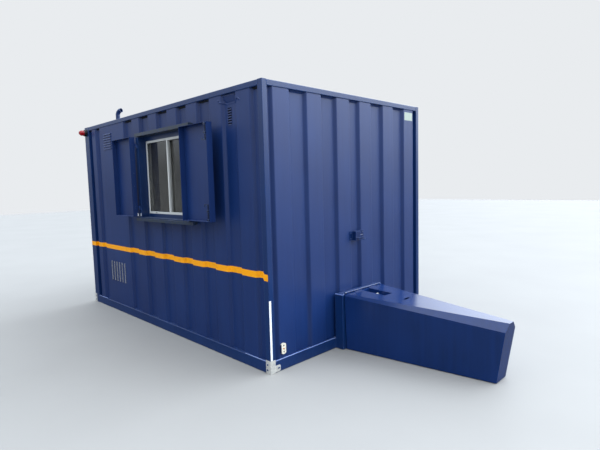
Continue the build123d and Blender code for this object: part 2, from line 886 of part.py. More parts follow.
# Personnel door in the back wall: frame, closed leaf and furniture
door_mid = wall_bottom + (door_clear_height + door_frame_face) / 2
frame_height = door_clear_height + door_frame_face
with BuildPart() as door_frame:
    with BuildSketch(Plane.XZ.offset(-half_width - door_frame_projection)):
        with Locations((door_centre, door_mid)):
            Rectangle(door_right - door_left, frame_height)
        with Locations((door_centre, door_mid - door_frame_face / 2)):
            Rectangle(door_clear_width, door_clear_height, mode=Mode.SUBTRACT)
    extrude(amount=door_frame_projection + frame_depth)
    # Inner part through the lining, standing on the deck, with a stop behind the leaf
    with BuildSketch(Plane.XZ.offset(-half_width + frame_depth)):
        with Locations((door_centre, (deck_top + door_head) / 2)):
            Rectangle(door_right - door_left, door_head - deck_top)
        with Locations((door_centre, (deck_top + door_head - door_frame_face - door_stop) / 2)):
            Rectangle(
                door_clear_width - 2 * door_stop,
                door_head - door_frame_face - door_stop - deck_top,
                mode=Mode.SUBTRACT,
            )
    extrude(amount=lining_thickness)
write(door_frame, "door_frame")
with BuildPart() as door_leaf:
    with BuildSketch(Plane.XZ.offset(-half_width)):
        with Locations((door_centre, wall_bottom + door_clear_height / 2)):
            Rectangle(door_clear_width - 2 * door_gap, door_clear_height - 2 * door_gap)
    extrude(amount=frame_depth - running_gap)
    # Sunken middle of the pressed outer skin
    with BuildSketch(Plane.XZ.offset(-half_width)):
        with Locations((door_centre, wall_bottom + door_clear_height / 2)):
            Rectangle(
                door_clear_width - 2 * door_panel_border, door_clear_height - 2 * door_panel_border
            )
    extrude(amount=door_panel_sink, mode=Mode.SUBTRACT)
write(door_leaf, "door_leaf")

# Lever handle on its long plate, and three butt hinges on the frame's face
handle_x = door_right - door_frame_face - door_gap - door_panel_border / 2
handle_out = half_width + handle_plate_thickness + handle_stand_off
door_hinge_x = door_left + door_frame_face - door_hinge_diameter / 2
door_hinge_levels = (
    wall_bottom + door_hinge_margin,
    wall_bottom + door_clear_height / 2,
    wall_bottom + door_clear_height - door_hinge_margin,
)
with BuildPart() as door_furniture:
    with BuildSketch(Plane.XZ.offset(-half_width)):
        with Locations((handle_x, handle_height)):
            SlotOverall(handle_plate_height, handle_plate_width, rotation=90)
    extrude(amount=-handle_plate_thickness)
    with BuildSketch(Plane.XZ.offset(-half_width)):
        with Locations((handle_x, handle_height)):
            Circle(handle_boss_diameter / 2)
    extrude(amount=-handle_plate_thickness - handle_stand_off)
    with BuildSketch(Plane.YZ.offset(handle_x)):
        with Locations((handle_out, handle_height)):
            Rectangle(handle_thickness, handle_thickness)
    extrude(amount=-handle_length)
    for level in door_hinge_levels:
        with BuildSketch(Plane.XY.offset(level - door_hinge_length / 2)):
            with Locations(
                (door_hinge_x, half_width + door_frame_projection + door_hinge_diameter / 2)
            ):
                Circle(door_hinge_diameter / 2)
            with Locations(
                (door_hinge_x, half_width + door_frame_projection + door_hinge_diameter / 4)
            ):
                Rectangle(door_hinge_diameter, door_hinge_diameter / 2)
        extrude(amount=door_hinge_length)
write(door_furniture, "door_furniture")

# Drawbar neck: a welded box under the cover's hinge
neck_end = half_length + neck_length
neck_half_width = hood_wall_half_width + neck_overhang
neck_height = hood_wall_top_height - neck_step
with BuildPart() as drawbar_neck:
    with BuildSketch(Plane.YZ.offset(half_length)):
        with Locations((drawbar_offset, (neck_height + hood_clearance) / 2)):
            Rectangle(2 * neck_half_width, neck_height - hood_clearance)
    extrude(amount=neck_length)
write(drawbar_neck, "drawbar_neck")

# Cover: a tapered shell folded from flat plate, open below and towards the neck
hood_hinge_x = neck_end + hood_gap
hood_end = hood_hinge_x + hood_length
hood_nose_top = hood_end + hood_lean
hood_wall_base_half_width = hood_wall_half_width - hood_wall_side_lean
hood_wall_top_half_width = hood_wall_half_width - hood_wall_shoulder
hood_wall_side_height = hood_wall_top_height - hood_wall_shoulder
hood_nose_side_height = hood_nose_top_height - hood_nose_shoulder_drop
hood_nose_side_share = (hood_nose_side_height - hood_clearance) / (
    hood_nose_top_height - hood_clearance
)
hood_top_plane = Plane(
    origin=(hood_hinge_x, drawbar_offset, hood_wall_top_height),
    x_dir=(hood_nose_top - hood_hinge_x, 0, hood_nose_top_height - hood_wall_top_height),
    z_dir=(hood_wall_top_height - hood_nose_top_height, 0, hood_nose_top - hood_hinge_x),
)


def fold_plane(first, second, third, side):
    """Plane of one flat plate through three corners given from the cover's middle, facing outwards."""
    corners = [Vector(x, drawbar_offset + side * y, z) for x, y, z in (first, second, third)]
    facing = (corners[1] - corners[0]).cross(corners[2] - corners[0])
    if facing.Y * side < 0:
        facing = -facing
    return Plane(origin=corners[0], x_dir=corners[1] - corners[0], z_dir=facing)


wall_base = (hood_hinge_x, hood_wall_base_half_width, hood_clearance)
wall_side = (hood_hinge_x, hood_wall_half_width, hood_wall_side_height)
wall_crown = (hood_hinge_x, hood_wall_top_half_width, hood_wall_top_height)
nose_side = (
    hood_end + hood_lean * hood_nose_side_share,
    hood_nose_half_width,
    hood_nose_side_height,
)
with BuildPart() as drawbar_hood:
    with BuildSketch(Plane.XZ.offset(-drawbar_offset)):
        Polygon(
            (hood_hinge_x, hood_clearance),
            (hood_end, hood_clearance),
            (hood_nose_top, hood_nose_top_height),
            (hood_hinge_x, hood_wall_top_height),
            align=None,
        )
    extrude(amount=hood_wall_half_width, both=True)
    for side in (-1, 1):
        split(bisect_by=fold_plane(wall_base, wall_side, nose_side, side), keep=Keep.BOTTOM)
        split(bisect_by=fold_plane(wall_side, wall_crown, nose_side, side), keep=Keep.BOTTOM)
    bottom_face = drawbar_hood.faces().sort_by(Axis.Z)[0]
    start_face = drawbar_hood.faces().sort_by(Axis.X)[0]
    offset(amount=-hood_plate, openings=[bottom_face, start_face], kind=Kind.INTERSECTION)
    # Sunken tray for the lock
    with BuildSketch(hood_top_plane):
        with Locations((recess_start + recess_length / 2, 0)):
            RectangleRounded(recess_length, recess_width, recess_corner)
    extrude(amount=-recess_depth)
    with BuildSketch(hood_top_plane):
        with Locations((recess_start + recess_length / 2, 0)):
            RectangleRounded(
                recess_length - 2 * hood_plate,
                recess_width - 2 * hood_plate,
                recess_corner - hood_plate,
            )
    extrude(amount=-recess_depth + hood_plate, mode=Mode.SUBTRACT)
    # Slot that drops over the catch's tongue when the cover is raised
    with BuildSketch(hood_top_plane.offset(-2 * hood_plate)):
        with Locations((slot_distance, 0)):
            Rectangle(slot_length, slot_width)
    extrude(amount=4 * hood_plate, mode=Mode.SUBTRACT)
    # Moving knuckles of the hinge, each on a tab welded to the top plate
    knuckle_run = 2 * hood_wall_top_half_width / hinge_segments
    hinge_z = hood_wall_top_height + hinge_lift
    hinge_start = drawbar_offset - hood_wall_top_half_width
    for index in range(1, hinge_segments, 2):
        with BuildSketch(Plane.XZ.offset(-hinge_start - index * knuckle_run - hinge_joint_gap / 2)):
            with Locations((hood_hinge_x, hinge_z)):
                Circle(hinge_knuckle / 2)
            with Locations((hood_hinge_x + hinge_tab / 2, hood_wall_top_height)):
                Rectangle(hinge_tab, 2 * hood_plate)
            with Locations((hood_hinge_x, hinge_z)):
                Circle(hinge_rod / 2 + running_gap, mode=Mode.SUBTRACT)
        extrude(amount=-knuckle_run + hinge_joint_gap)
write(drawbar_hood, "drawbar_hood")

# Padlock staple cut from square bar, standing on the floor of the tray
staple_foot = hood_top_plane.from_local_coords(
    (recess_start + recess_length / 2, 0, -recess_depth + hood_plate)
)
staple_plane = Plane(origin=staple_foot, x_dir=hood_top_plane.y_dir, z_dir=hood_top_plane.x_dir)
with BuildPart() as hood_staple:
    with BuildSketch(staple_plane):
        Rectangle(staple_width, staple_height, align=(Align.CENTER, Align.MIN))
        Rectangle(
            staple_width - 2 * staple_bar,
            staple_height - staple_bar,
            align=(Align.CENTER, Align.MIN),
            mode=Mode.SUBTRACT,
        )
    extrude(amount=staple_bar / 2, both=True)
write(hood_staple, "hood_staple")

# Fixed half of the hinge: the rod, its knuckles and the leaf along the neck's top edge
with BuildPart() as hood_hinge:
    with BuildSketch(Plane.XZ.offset(-hinge_start)):
        with Locations((hood_hinge_x, hinge_z)):
            Circle(hinge_rod / 2)
        with Locations((hood_hinge_x - hinge_joint_gap - hinge_leaf / 2, neck_height)):
            Rectangle(hinge_leaf, hinge_leaf_thickness, align=(Align.CENTER, Align.MIN))
    extrude(amount=-2 * hood_wall_top_half_width)
    for index in range(0, hinge_segments, 2):
        with BuildSketch(Plane.XZ.offset(-hinge_start - index * knuckle_run)):
            with Locations((hood_hinge_x, hinge_z)):
                Circle(hinge_knuckle / 2)
            with Locations((hood_hinge_x - hinge_joint_gap, neck_height)):
                Rectangle(
                    hinge_knuckle - hinge_joint_gap,
                    hinge_z - neck_height,
                    align=(Align.MAX, Align.MIN),
                )
        extrude(amount=-knuckle_run)
write(hood_hinge, "hood_hinge")

# Catch on the end wall: a plate across the middle valley, a block with a pin beside it, and the
# tongue that the slot drops over
catch_level = hinge_z + slot_distance
crest_face = half_length - crest_setback
plate_low_y = -end_centre_pitch / 2 + crest_width / 2 - catch_plate_lap
plate_high_y = end_centre_pitch / 2 - crest_width / 2 + catch_plate_lap
with BuildPart() as hood_catch:
    with BuildSketch(Plane.YZ.offset(crest_face)):
        with Locations(((plate_low_y + plate_high_y) / 2, catch_level + catch_rise)):
            Rectangle(plate_high_y - plate_low_y, catch_height)
    extrude(amount=catch_plate)
    with BuildSketch(Plane.YZ.offset(crest_face + catch_plate)):
        with Locations((drawbar_offset, catch_level + catch_rise)):
            Rectangle(catch_width, catch_height)
    extrude(amount=catch_projection - catch_plate)
    with BuildSketch(Plane.YZ.offset(crest_face + catch_projection)):
        with Locations((drawbar_offset, catch_level)):
            Rectangle(tongue_width, tongue_thickness)
    extrude(amount=tongue_reach + crest_setback - catch_projection)
    with BuildSketch(Plane.XZ.offset(-drawbar_offset - catch_width / 2)):
        with Locations((crest_face + (catch_projection + catch_plate) / 2, catch_level + catch_rise)):
            Circle(catch_pin_diameter / 2)
    extrude(amount=-catch_pin_length)
write(hood_catch, "hood_catch")

# Drawbar under the cover: two box rails that meet at a head plate, and the towing eye
eye_x = hood_end - eye_from_nose
eye_base = eye_x - eye_shank_length
head_start = eye_base - drawbar_head_thickness
drawbar_spread = hood_wall_base_half_width - drawbar_side_gap - drawbar_rail_width / 2
with BuildPart() as drawbar_rails:
    for side in (-1, 1):
        for place, spread in ((neck_end, drawbar_spread), (head_start, drawbar_head_spread)):
            with BuildSketch(Plane.YZ.offset(place)):
                with Locations((drawbar_offset + side * spread, drawbar_level)):
                    Rectangle(drawbar_rail_width, drawbar_rail_height)
        loft()
    with BuildSketch(Plane.YZ.offset(head_start)):
        with Locations((drawbar_offset, drawbar_level)):
            Rectangle(2 * drawbar_head_spread + drawbar_rail_width, drawbar_rail_height)
    extrude(amount=drawbar_head_thickness)
write(drawbar_rails, "drawbar_rails")

with BuildPart() as towing_eye:
    with BuildSketch(Plane.XY.offset(drawbar_level - eye_thickness / 2)):
        with Locations((eye_x, drawbar_offset)):
            Circle(eye_outer / 2)
        with Locations(((eye_base + eye_x) / 2, drawbar_offset)):
            Rectangle(eye_x - eye_base, eye_shank_width)
        with Locations((eye_x, drawbar_offset)):
            Circle(eye_bore / 2, mode=Mode.SUBTRACT)
    extrude(amount=eye_thickness)
write(towing_eye, "towing_eye")

# Galvanised plates round the feet of the corner posts: two holes on the long side, and a rounded
# lug with a hole on the short side
with BuildPart() as corner_plates:
    for end in (-1, 1):
        for side in (-1, 1):
            corner_x = end * half_length
            corner_y = side * half_width
            with BuildSketch(Plane.XZ.offset(-corner_y)):
                with Locations((corner_x - end * (near_post_width - plate_thickness) / 2, 0)):
                    Rectangle(
                        near_post_width + plate_thickness,
                        plate_height,
                        align=(Align.CENTER, Align.MIN),
                    )
                with Locations(
                    (corner_x - end * near_post_width / 2, plate_hole_low),
                    (corner_x - end * near_post_width / 2, plate_hole_high),
                ):
                    Circle(plate_hole / 2, mode=Mode.SUBTRACT)
            extrude(amount=-side * plate_thickness)
            lug_middle = corner_y - side * lug_reach / 2
            lug_level = lug_low + lug_height / 2
            with BuildSketch(Plane.YZ.offset(corner_x)):
                with Locations((corner_y - side * plate_reach / 2, 0)):
                    Rectangle(plate_reach, plate_height, align=(Align.CENTER, Align.MIN))
                with Locations((lug_middle, lug_level)):
                    RectangleRounded(lug_reach, lug_height, lug_corner)
                with Locations((corner_y - side * (lug_reach + plate_reach) / 2, lug_level)):
                    Circle(plate_hole / 2, mode=Mode.SUBTRACT)
            extrude(amount=end * plate_thickness)
write(corner_plates, "corner_plates")

# Exhaust pipe on a roof rib, bent over in mitred lengths. Its mouth looks along the cabin, turned
# a little towards the roof's middle.
pipe_x = -pipe_rib * roof_pitch
pipe_y = -half_width + pipe_from_side
pipe_heading = Vector(cos(radians(pipe_turn)), sin(radians(pipe_turn)), 0)
pipe_plane = Plane(
    origin=(pipe_x, pipe_y, roof_top), x_dir=pipe_heading, z_dir=pipe_heading.cross(Vector(0, 0, 1))
)
mitre_turn = radians(pipe_bend_angle / pipe_mitres)
mitre_run = 2 * pipe_bend_radius * tan(mitre_turn / 2)
pipe_points = [(0, 0), (0, pipe_rise)]
for index in range(1, pipe_mitres + 1):
    run = mitre_run if index < pipe_mitres else pipe_tail
    last_out, last_up = pipe_points[-1]
    pipe_points.append(
        (last_out + run * sin(index * mitre_turn), last_up + run * cos(index * mitre_turn))
    )
with BuildPart() as exhaust_pipe:
    with BuildSketch(Plane.XY.offset(roof_top)):
        with Locations((pipe_x, pipe_y)):
            Rectangle(pipe_flange, pipe_flange)
            Circle(pipe_diameter / 2 - pipe_wall, mode=Mode.SUBTRACT)
    extrude(amount=pipe_flange_thickness)
    with BuildLine(pipe_plane) as pipe_line:
        Polyline(*pipe_points)
    with BuildSketch(Plane.XY.offset(roof_top)):
        with Locations((pipe_x, pipe_y)):
            Circle(pipe_diameter / 2)
            Circle(pipe_diameter / 2 - pipe_wall, mode=Mode.SUBTRACT)
    sweep(path=pipe_line.line, transition=Transition.RIGHT)
write(exhaust_pipe, "exhaust_pipe")

# Lamp on the far post: a round base and a ribbed lens that narrows at its crown
lamp_x = -half_length + lamp_from_end
lamp_level = cabin_height - lamp_drop
lens_start = half_width + lamp_base_depth
lens_shoulder = lens_start + lamp_lens_depth - lamp_lens_crown
with BuildPart() as lamp_base:
    with BuildSketch(Plane.XZ.offset(half_width)):
        with Locations((lamp_x, lamp_level)):
            Circle(lamp_base_diameter / 2)
    extrude(amount=lamp_base_depth)
write(lamp_base, "lamp_base")
with BuildPart() as lamp_lens:
    with BuildSketch(Plane.XZ.offset(lens_start)):
        with Locations((lamp_x, lamp_level)):
            RegularPolygon(lamp_lens_diameter / 2, lamp_lens_ribs)
    extrude(amount=lamp_lens_depth - lamp_lens_crown)
    with BuildSketch(Plane.XZ.offset(lens_shoulder)):
        with Locations((lamp_x, lamp_level)):
            RegularPolygon(lamp_lens_diameter / 2, lamp_lens_ribs)
    extrude(amount=lamp_lens_crown, taper=lamp_lens_taper)
write(lamp_lens, "lamp_lens")

# Side marker on the first crest of the end wall
marker_y = end_crests[0][0] + marker_width / 2
marker_level = bottom_rail_height + marker_above_rail + marker_height / 2
with BuildPart() as side_marker:
    with BuildSketch(Plane.YZ.offset(crest_face)):
        with Locations((marker_y, marker_level)):
            RectangleRounded(marker_width, marker_height, marker_corner)
    extrude(amount=marker_depth)
write(side_marker, "side_marker")
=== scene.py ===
# %% [markdown]
# # A portable steel site cabin
# The CAD model gives every solid of the cabin in its true size. This lesson dresses it: it sets the
# camera where the photographer stood, gives each surface the finish of the real one, and adds the
# thin things that a CAD model leaves out, such as tape, weld beads, seals and screws. Everything is
# in metres, with X along the cabin to its drawbar, -Y to the window side and Z up.

# %% Load the model
from itertools import product
from math import cos, exp, pi, sin

import bmesh
import bpy
from mathutils import Matrix, Vector


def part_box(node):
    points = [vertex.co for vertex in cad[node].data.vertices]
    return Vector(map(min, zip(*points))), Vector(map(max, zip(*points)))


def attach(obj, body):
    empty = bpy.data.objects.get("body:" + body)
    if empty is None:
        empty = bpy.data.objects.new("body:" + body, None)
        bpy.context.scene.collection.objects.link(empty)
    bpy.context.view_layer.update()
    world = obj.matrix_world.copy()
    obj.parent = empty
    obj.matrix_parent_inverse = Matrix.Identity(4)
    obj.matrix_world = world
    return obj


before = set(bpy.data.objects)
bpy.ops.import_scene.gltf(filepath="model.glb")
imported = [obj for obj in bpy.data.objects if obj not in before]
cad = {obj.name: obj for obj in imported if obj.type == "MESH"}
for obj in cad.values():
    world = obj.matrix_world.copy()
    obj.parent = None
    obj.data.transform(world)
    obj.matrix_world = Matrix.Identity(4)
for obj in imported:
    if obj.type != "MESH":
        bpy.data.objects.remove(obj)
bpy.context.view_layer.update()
scene = bpy.context.scene
scene.view_settings.view_transform = "Standard"

# %% [markdown]
# ## Camera
# The photograph was taken with a phone held at eye height, a little off level. Its place came from
# matching the edges of the body in the picture, so the three directions of the camera are written
# out as a matrix: right, up and backwards. A rotation in angles would do as well, but the matrix is
# what the matching gives, and it holds the small roll of the hand-held picture.

# %% Camera
camera_data = bpy.data.cameras.new("camera")
camera_data.sensor_width = 36
camera_data.lens = 27.144
camera = bpy.data.objects.new("camera", camera_data)
scene.collection.objects.link(camera)
right = Vector((0.70465, 0.70909, -0.02609))
up = Vector((-0.04605, 0.08240, 0.99555))
back = Vector((0.70807, -0.70030, 0.09071))
pose = Matrix((right, up, back)).transposed().to_4x4()
pose.translation = Vector((4.52235, -3.42535, 1.52916))
camera.matrix_world = pose
scene.camera = camera
print("camera at", [round(v, 3) for v in pose.translation])

# %% [markdown]
# ## Tools for the materials
# Colours are written as hex values, as a painter's chart gives them, and one function turns them to
# the linear numbers that light needs. Another adds one node, whose kind is written without Blender's
# prefix ShaderNode, with its settings and its links, so that each material below reads as a list of
# what lies on what. Where an input names a node, it takes that node's first live output. The last
# function starts a material, and hands out the object's own coordinates in metres, which give every
# pattern its real size.

# %% Colour and node helpers
def linear(code):
    """An sRGB hex colour as linear red, green and blue, with full alpha."""
    values = [int(code[i : i + 2], 16) / 255 for i in (1, 3, 5)]
    values = [v / 12.92 if v <= 0.04045 else ((v + 0.055) / 1.055) ** 2.4 for v in values]
    return (*values, 1.0)


def feed(fed, inputs):
    """Feed a node's inputs: with values, hex colours, sockets, or nodes for their first live output."""
    for key, value in inputs.items():
        if isinstance(value, bpy.types.Node):
            value = next(output for output in value.outputs if output.enabled)
        if isinstance(value, bpy.types.NodeSocket):
            fed.id_data.links.new(value, fed.inputs[key])
        else:
            fed.inputs[key].default_value = linear(value) if isinstance(value, str) else value


def node(tree, kind, inputs=None, **settings):
    """Add one node: inputs are what feeds it, settings are its properties."""
    made = tree.nodes.new("ShaderNode" + kind)
    for key, value in settings.items():
        setattr(made, key, value)
    feed(made, inputs or {})
    return made


def material(name, colour="#808080", roughness=0.5, metallic=0.0, ior=None):
    """A material of constant values; returns it, its tree, its shader and the object's own metres."""
    made = bpy.data.materials.new(name)
    made.use_nodes = True
    shader = made.node_tree.nodes["Principled BSDF"]
    feed(shader, {"Base Color": colour, "Roughness": roughness, "Metallic": metallic})
    if ior is not None:
        feed(shader, {"IOR": ior})
    made.diffuse_color = linear(colour)
    place = node(made.node_tree, "TexCoord").outputs["Object"]
    return made, made.node_tree, shader, place


rgba, soft = {"data_type": "RGBA"}, {"interpolation_type": "SMOOTHSTEP"}
print("black and white become", linear("#000000"), linear("#FFFFFF"))

# %% [markdown]
# ## The blue paint
# The walls are folded steel sheet, sprayed with a semi-gloss blue machinery enamel. Sprayed enamel
# dries with a fine orange peel, thin sheet bows a little between its folds, and rain leaves faint
# upright streaks in the dust. An image of old paint would be quicker, but it would show its tiles;
# noise in the cabin's own metres runs on from one sheet to the next. The same recipe serves the
# frame, the roof and the fittings, with other colours and amounts, so it is written once.

# %% Enamel on steel
def enamel(name, deep, pale, dust, roughness=0.3, settled=0.5, bow=0.0012, edge=None):
    """Sprayed enamel: deep and pale blues in streaks, dust on upward faces and near the ground, and paler
    edges, partly rubbed paint and partly painted highlight.
    """
    made, tree, shader, place = material(name, deep, roughness)
    stretched = node(tree, "Mapping", {"Vector": place, "Scale": (26, 26, 1.1)})
    streaks = node(tree, "TexNoise", {"Vector": stretched, "Scale": 1.0, "Detail": 5.0, "Roughness": 0.6})
    clouds = node(tree, "TexNoise", {"Vector": place, "Scale": 1.7, "Detail": 4.0})
    both = node(tree, "Math", {0: streaks, 1: 0.6, 2: clouds}, operation="MULTIPLY_ADD")
    streaked = node(tree, "MapRange", {"Value": both, "From Min": 0.55, "From Max": 1.1})
    blue = node(tree, "Mix", {"Factor": streaked, 6: deep, 7: pale}, **rgba)
    # Dust: most on faces that look up, some splashed on the lowest hand's breadth
    geometry = node(tree, "NewGeometry")
    facing = node(tree, "SeparateXYZ", {0: geometry.outputs["Normal"]}).outputs["Z"]
    upward = node(
        tree, "MapRange", {"Value": facing, "From Min": 0.35, "From Max": 0.95, "To Max": settled}
    )
    height = node(tree, "SeparateXYZ", {0: place}).outputs["Z"]
    splash = node(
        tree, "MapRange", {"Value": height, "From Min": 0.1, "From Max": 0.0, "To Max": settled * 0.6}
    )
    lying = node(tree, "Math", {0: upward, 1: splash}, operation="MAXIMUM")
    grit = node(tree, "TexNoise", {"Vector": place, "Scale": 38.0, "Detail": 6.0})
    patchy = node(tree, "MapRange", {"Value": grit, "From Min": 0.35, "From Max": 0.7})
    dusty = node(tree, "Math", {0: lying, 1: patchy}, operation="MULTIPLY")
    colour = node(tree, "Mix", {"Factor": dusty, 6: blue, 7: dust}, **rgba)
    if edge is not None:
        # Paler paint on a fold's crown: partly paint that handling rubs thin, partly a painted highlight
        # along the edge
        rounded = node(tree, "Bevel", {"Radius": 0.006}, samples=6)
        along = node(
            tree, "VectorMath", {0: rounded, 1: geometry.outputs["Normal"]}, operation="DOT_PRODUCT"
        )
        rubbed_and_highlit = node(
            tree,
            "MapRange",
            {"Value": along.outputs["Value"], "From Min": 0.995, "From Max": 0.86, "To Max": 0.55},
        )
        colour = node(tree, "Mix", {"Factor": rubbed_and_highlit, 6: colour, 7: edge}, **rgba)
    gloss = node(
        tree, "MapRange", {"Value": dusty, "To Min": roughness, "To Max": min(roughness + 0.4, 0.9)}
    )
    # Orange peel about 3 mm across, and the slow bow of thin sheet about 300 mm across
    peel = node(tree, "TexNoise", {"Vector": place, "Scale": 330.0, "Detail": 1.0})
    peel_bump = node(tree, "Bump", {"Height": peel, "Strength": 0.25, "Distance": 0.00008})
    slow = node(tree, "TexNoise", {"Vector": place, "Scale": 3.2, "Detail": 1.0})
    bow_bump = node(tree, "Bump", {"Height": slow, "Strength": 1.0, "Distance": bow, "Normal": peel_bump})
    feed(shader, {"Base Color": colour, "Roughness": gloss, "Normal": bow_bump})
    return made


sheet_enamel = enamel("blue enamel on folded sheet", "#0A275B", "#0F3068", "#4C5B85", 0.42)
cover_enamel = enamel(
    "fresh enamel on drawbar cover", "#0F2958", "#13326C", "#3F5590", 0.2, settled=0.0, bow=0.0003
)
frame_enamel = enamel(
    "blue enamel on rolled frame", "#0B2857", "#103164", "#4E5E88", settled=0.3, bow=0.0002, edge="#4A66A4"
)
# The catch takes a darker copy of the frame's enamel, as painted shade for the shadows in its hook and round
# its plate
shaded_catch_enamel = enamel(
    "darker enamel as painted shade on hold-open catch", "#081D48", "#0C2654", "#3C4A70", 0.25, bow=0.0, edge="#4A639C"
)
# The tower bolts take a near-black blue, darker than the frame's enamel
fitting_enamel = enamel(
    "darker enamel on tower bolts", "#050F26", "#081734", "#3C4A70", 0.25, bow=0.0, edge="#5F78AE"
)
# The pale seam enamel is a painted highlight: light along level seams, drawn in colour
highlight_enamel = enamel(
    "pale enamel as a painted highlight along a seam", "#5470B4", "#92A6D6", "#8C96B0", 0.15, settled=0.2, bow=0.0
)
surround_enamel = enamel(
    "enamel on window surround", "#0B254F", "#102F5C", "#7F8890", bow=0.0002, edge="#46598A"
)
roof_enamel = enamel(
    "weathered enamel on roof", "#1A2C52", "#263A62", "#62676C", 0.45, settled=0.8, bow=0.002
)
chassis_enamel = enamel(
    "black chassis paint", "#15161A", "#202228", "#5A5650", 0.5, settled=0.8, bow=0.0, edge="#33353B"
)
# On the surround's head and sill the sun has chalked the blue to a grey green
tree = surround_enamel.node_tree
shader = tree.nodes["Principled BSDF"]
painted = shader.inputs["Base Color"].links[0].from_socket
place = node(tree, "TexCoord").outputs["Object"]
height = node(tree, "SeparateXYZ", {0: place}).outputs["Z"]
window_low, window_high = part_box("window_glass")
window_middle = (window_low.z + window_high.z) / 2
from_middle = node(tree, "Math", {0: height, 1: window_middle}, operation="SUBTRACT")
distance = node(tree, "Math", {0: from_middle}, operation="ABSOLUTE")
beyond = node(tree, "MapRange", {"Value": distance, "From Min": 0.425, "From Max": 0.434})
worn = node(tree, "TexNoise", {"Vector": place, "Scale": 22.0, "Detail": 6.0})
chalky = node(
    tree, "MapRange", {"Value": worn, "From Min": 0.3, "From Max": 0.62, "To Min": 0.35, "To Max": 0.95}
)
chalk = node(tree, "Math", {0: beyond, 1: chalky}, operation="MULTIPLY")
colour = node(tree, "Mix", {"Factor": chalk, 6: painted, 7: "#2C353A"}, **rgba)
feed(shader, {"Base Color": colour})
print("enamels", [m.name for m in bpy.data.materials if "enamel" in m.name])

# %% [markdown]
# ## Bare metals
# The plates at the feet are hot-dip galvanised: molten zinc freezes into dull grains about 12 mm
# across, called spangle. Small screws and the door's furniture are zinc plated, which is finer and
# brighter, with paint caught in the corners. Voronoi cells make the grains, because each frozen
# crystal has one even tone of its own.

# %% Galvanised and plated steel
galvanised, tree, shader, place = material("hot-dip galvanised steel", "#C6C7C3", 0.5, 0.2)
spangle = node(tree, "TexVoronoi", {"Vector": place, "Scale": 83.0})
tone = node(tree, "SeparateColor", {0: spangle.outputs["Color"]})
colour = node(tree, "Mix", {"Factor": tone, 6: "#B9BAB6", 7: "#D2D1CA"}, **rgba)
gloss = node(tree, "MapRange", {"Value": tone.outputs[1], "To Min": 0.4, "To Max": 0.62})
feed(shader, {"Base Color": colour, "Roughness": gloss})

zinc, tree, shader, place = material("zinc plated steel with paint in its corners", "#B4B8BC", 0.35, 1.0)
corner = node(tree, "AmbientOcclusion", {"Distance": 0.02})
caught = node(tree, "MapRange", {"Value": corner.outputs["AO"], "From Min": 0.75, "From Max": 0.35})
colour = node(tree, "Mix", {"Factor": caught, 6: "#AEB4BC", 7: "#243A74"}, **rgba)
metal = node(tree, "MapRange", {"Value": caught, "To Min": 1.0, "To Max": 0.1})
scratches = node(tree, "TexNoise", {"Vector": place, "Scale": 400.0, "Detail": 2.0})
bump = node(tree, "Bump", {"Height": scratches, "Strength": 0.2, "Distance": 0.0001})
feed(shader, {"Base Color": colour, "Metallic": metal, "Normal": bump})
print("metals", galvanised.name, "and", zinc.name)

# %% [markdown]
# ## Window and lamps
# The white window is powder-coated aluminium: the powder melts to a smooth, slightly dull skin, and
# dirt gathers in its inner corners. The panes are float glass with a thin film of dust. The lamp has
# a base of black ABS and a lens of red acrylic, and the side marker is a cream acrylic moulding.

# %% Powder coat, glass and plastics
powder_coat, tree, shader, place = material("white powder-coated aluminium", "#C8CAC8", 0.38)
corner = node(tree, "AmbientOcclusion", {"Distance": 0.03})
soiled = node(tree, "MapRange", {"Value": corner.outputs["AO"], "From Min": 0.8, "From Max": 0.3})
smears = node(tree, "TexNoise", {"Vector": place, "Scale": 30.0, "Detail": 5.0})
dirt = node(tree, "Math", {0: soiled, 1: smears}, operation="MULTIPLY")
colour = node(tree, "Mix", {"Factor": dirt, 6: "#C8CAC8", 7: "#77756C"}, **rgba)
feed(shader, {"Base Color": colour})

glass, tree, shader, place = material("float glass with a film of dust", "#EEEDE8", 0.02, ior=1.52)
film = node(tree, "TexNoise", {"Vector": place, "Scale": 9.0, "Detail": 6.0})
gloss = node(tree, "MapRange", {"Value": film, "To Min": 0.01, "To Max": 0.07})
feed(shader, {"Roughness": gloss, "Transmission Weight": 1.0})
# The film is a thin grey layer in front of the glass, thicker towards the sill
height = node(tree, "SeparateXYZ", {0: place}).outputs["Z"]
sill, head = window_low.z, window_high.z
low_down = node(
    tree, "MapRange", {"Value": height, "From Min": head, "From Max": sill, "To Min": 0.03, "To Max": 0.15}
)
amount = node(tree, "Math", {0: low_down, 1: film}, operation="MULTIPLY")
dust_film = node(tree, "BsdfDiffuse", {"Color": "#B4B2A8", "Roughness": 0.5})
layered = node(tree, "MixShader", {0: amount, 1: shader, 2: dust_film})
feed(tree.nodes["Material Output"], {"Surface": layered})

black_abs, tree, shader, place = material("black moulded ABS", "#17181A", 0.45)
grain = node(tree, "TexNoise", {"Vector": place, "Scale": 900.0, "Detail": 2.0})
bump = node(tree, "Bump", {"Height": grain, "Strength": 0.3, "Distance": 0.0002})
feed(shader, {"Normal": bump})

red_acrylic, tree, shader, place = material("red acrylic lens", "#B0121E", 0.12, ior=1.49)
rings = node(tree, "TexWave", {"Vector": place, "Scale": 42.0}, bands_direction="Y")
colour = node(tree, "Mix", {"Factor": rings.outputs["Fac"], 6: "#8E0D18", 7: "#C2202A"}, **rgba)
bump = node(tree, "Bump", {"Height": rings.outputs["Fac"], "Strength": 0.5, "Distance": 0.001})
feed(shader, {"Base Color": colour, "Normal": bump, "Transmission Weight": 0.25})

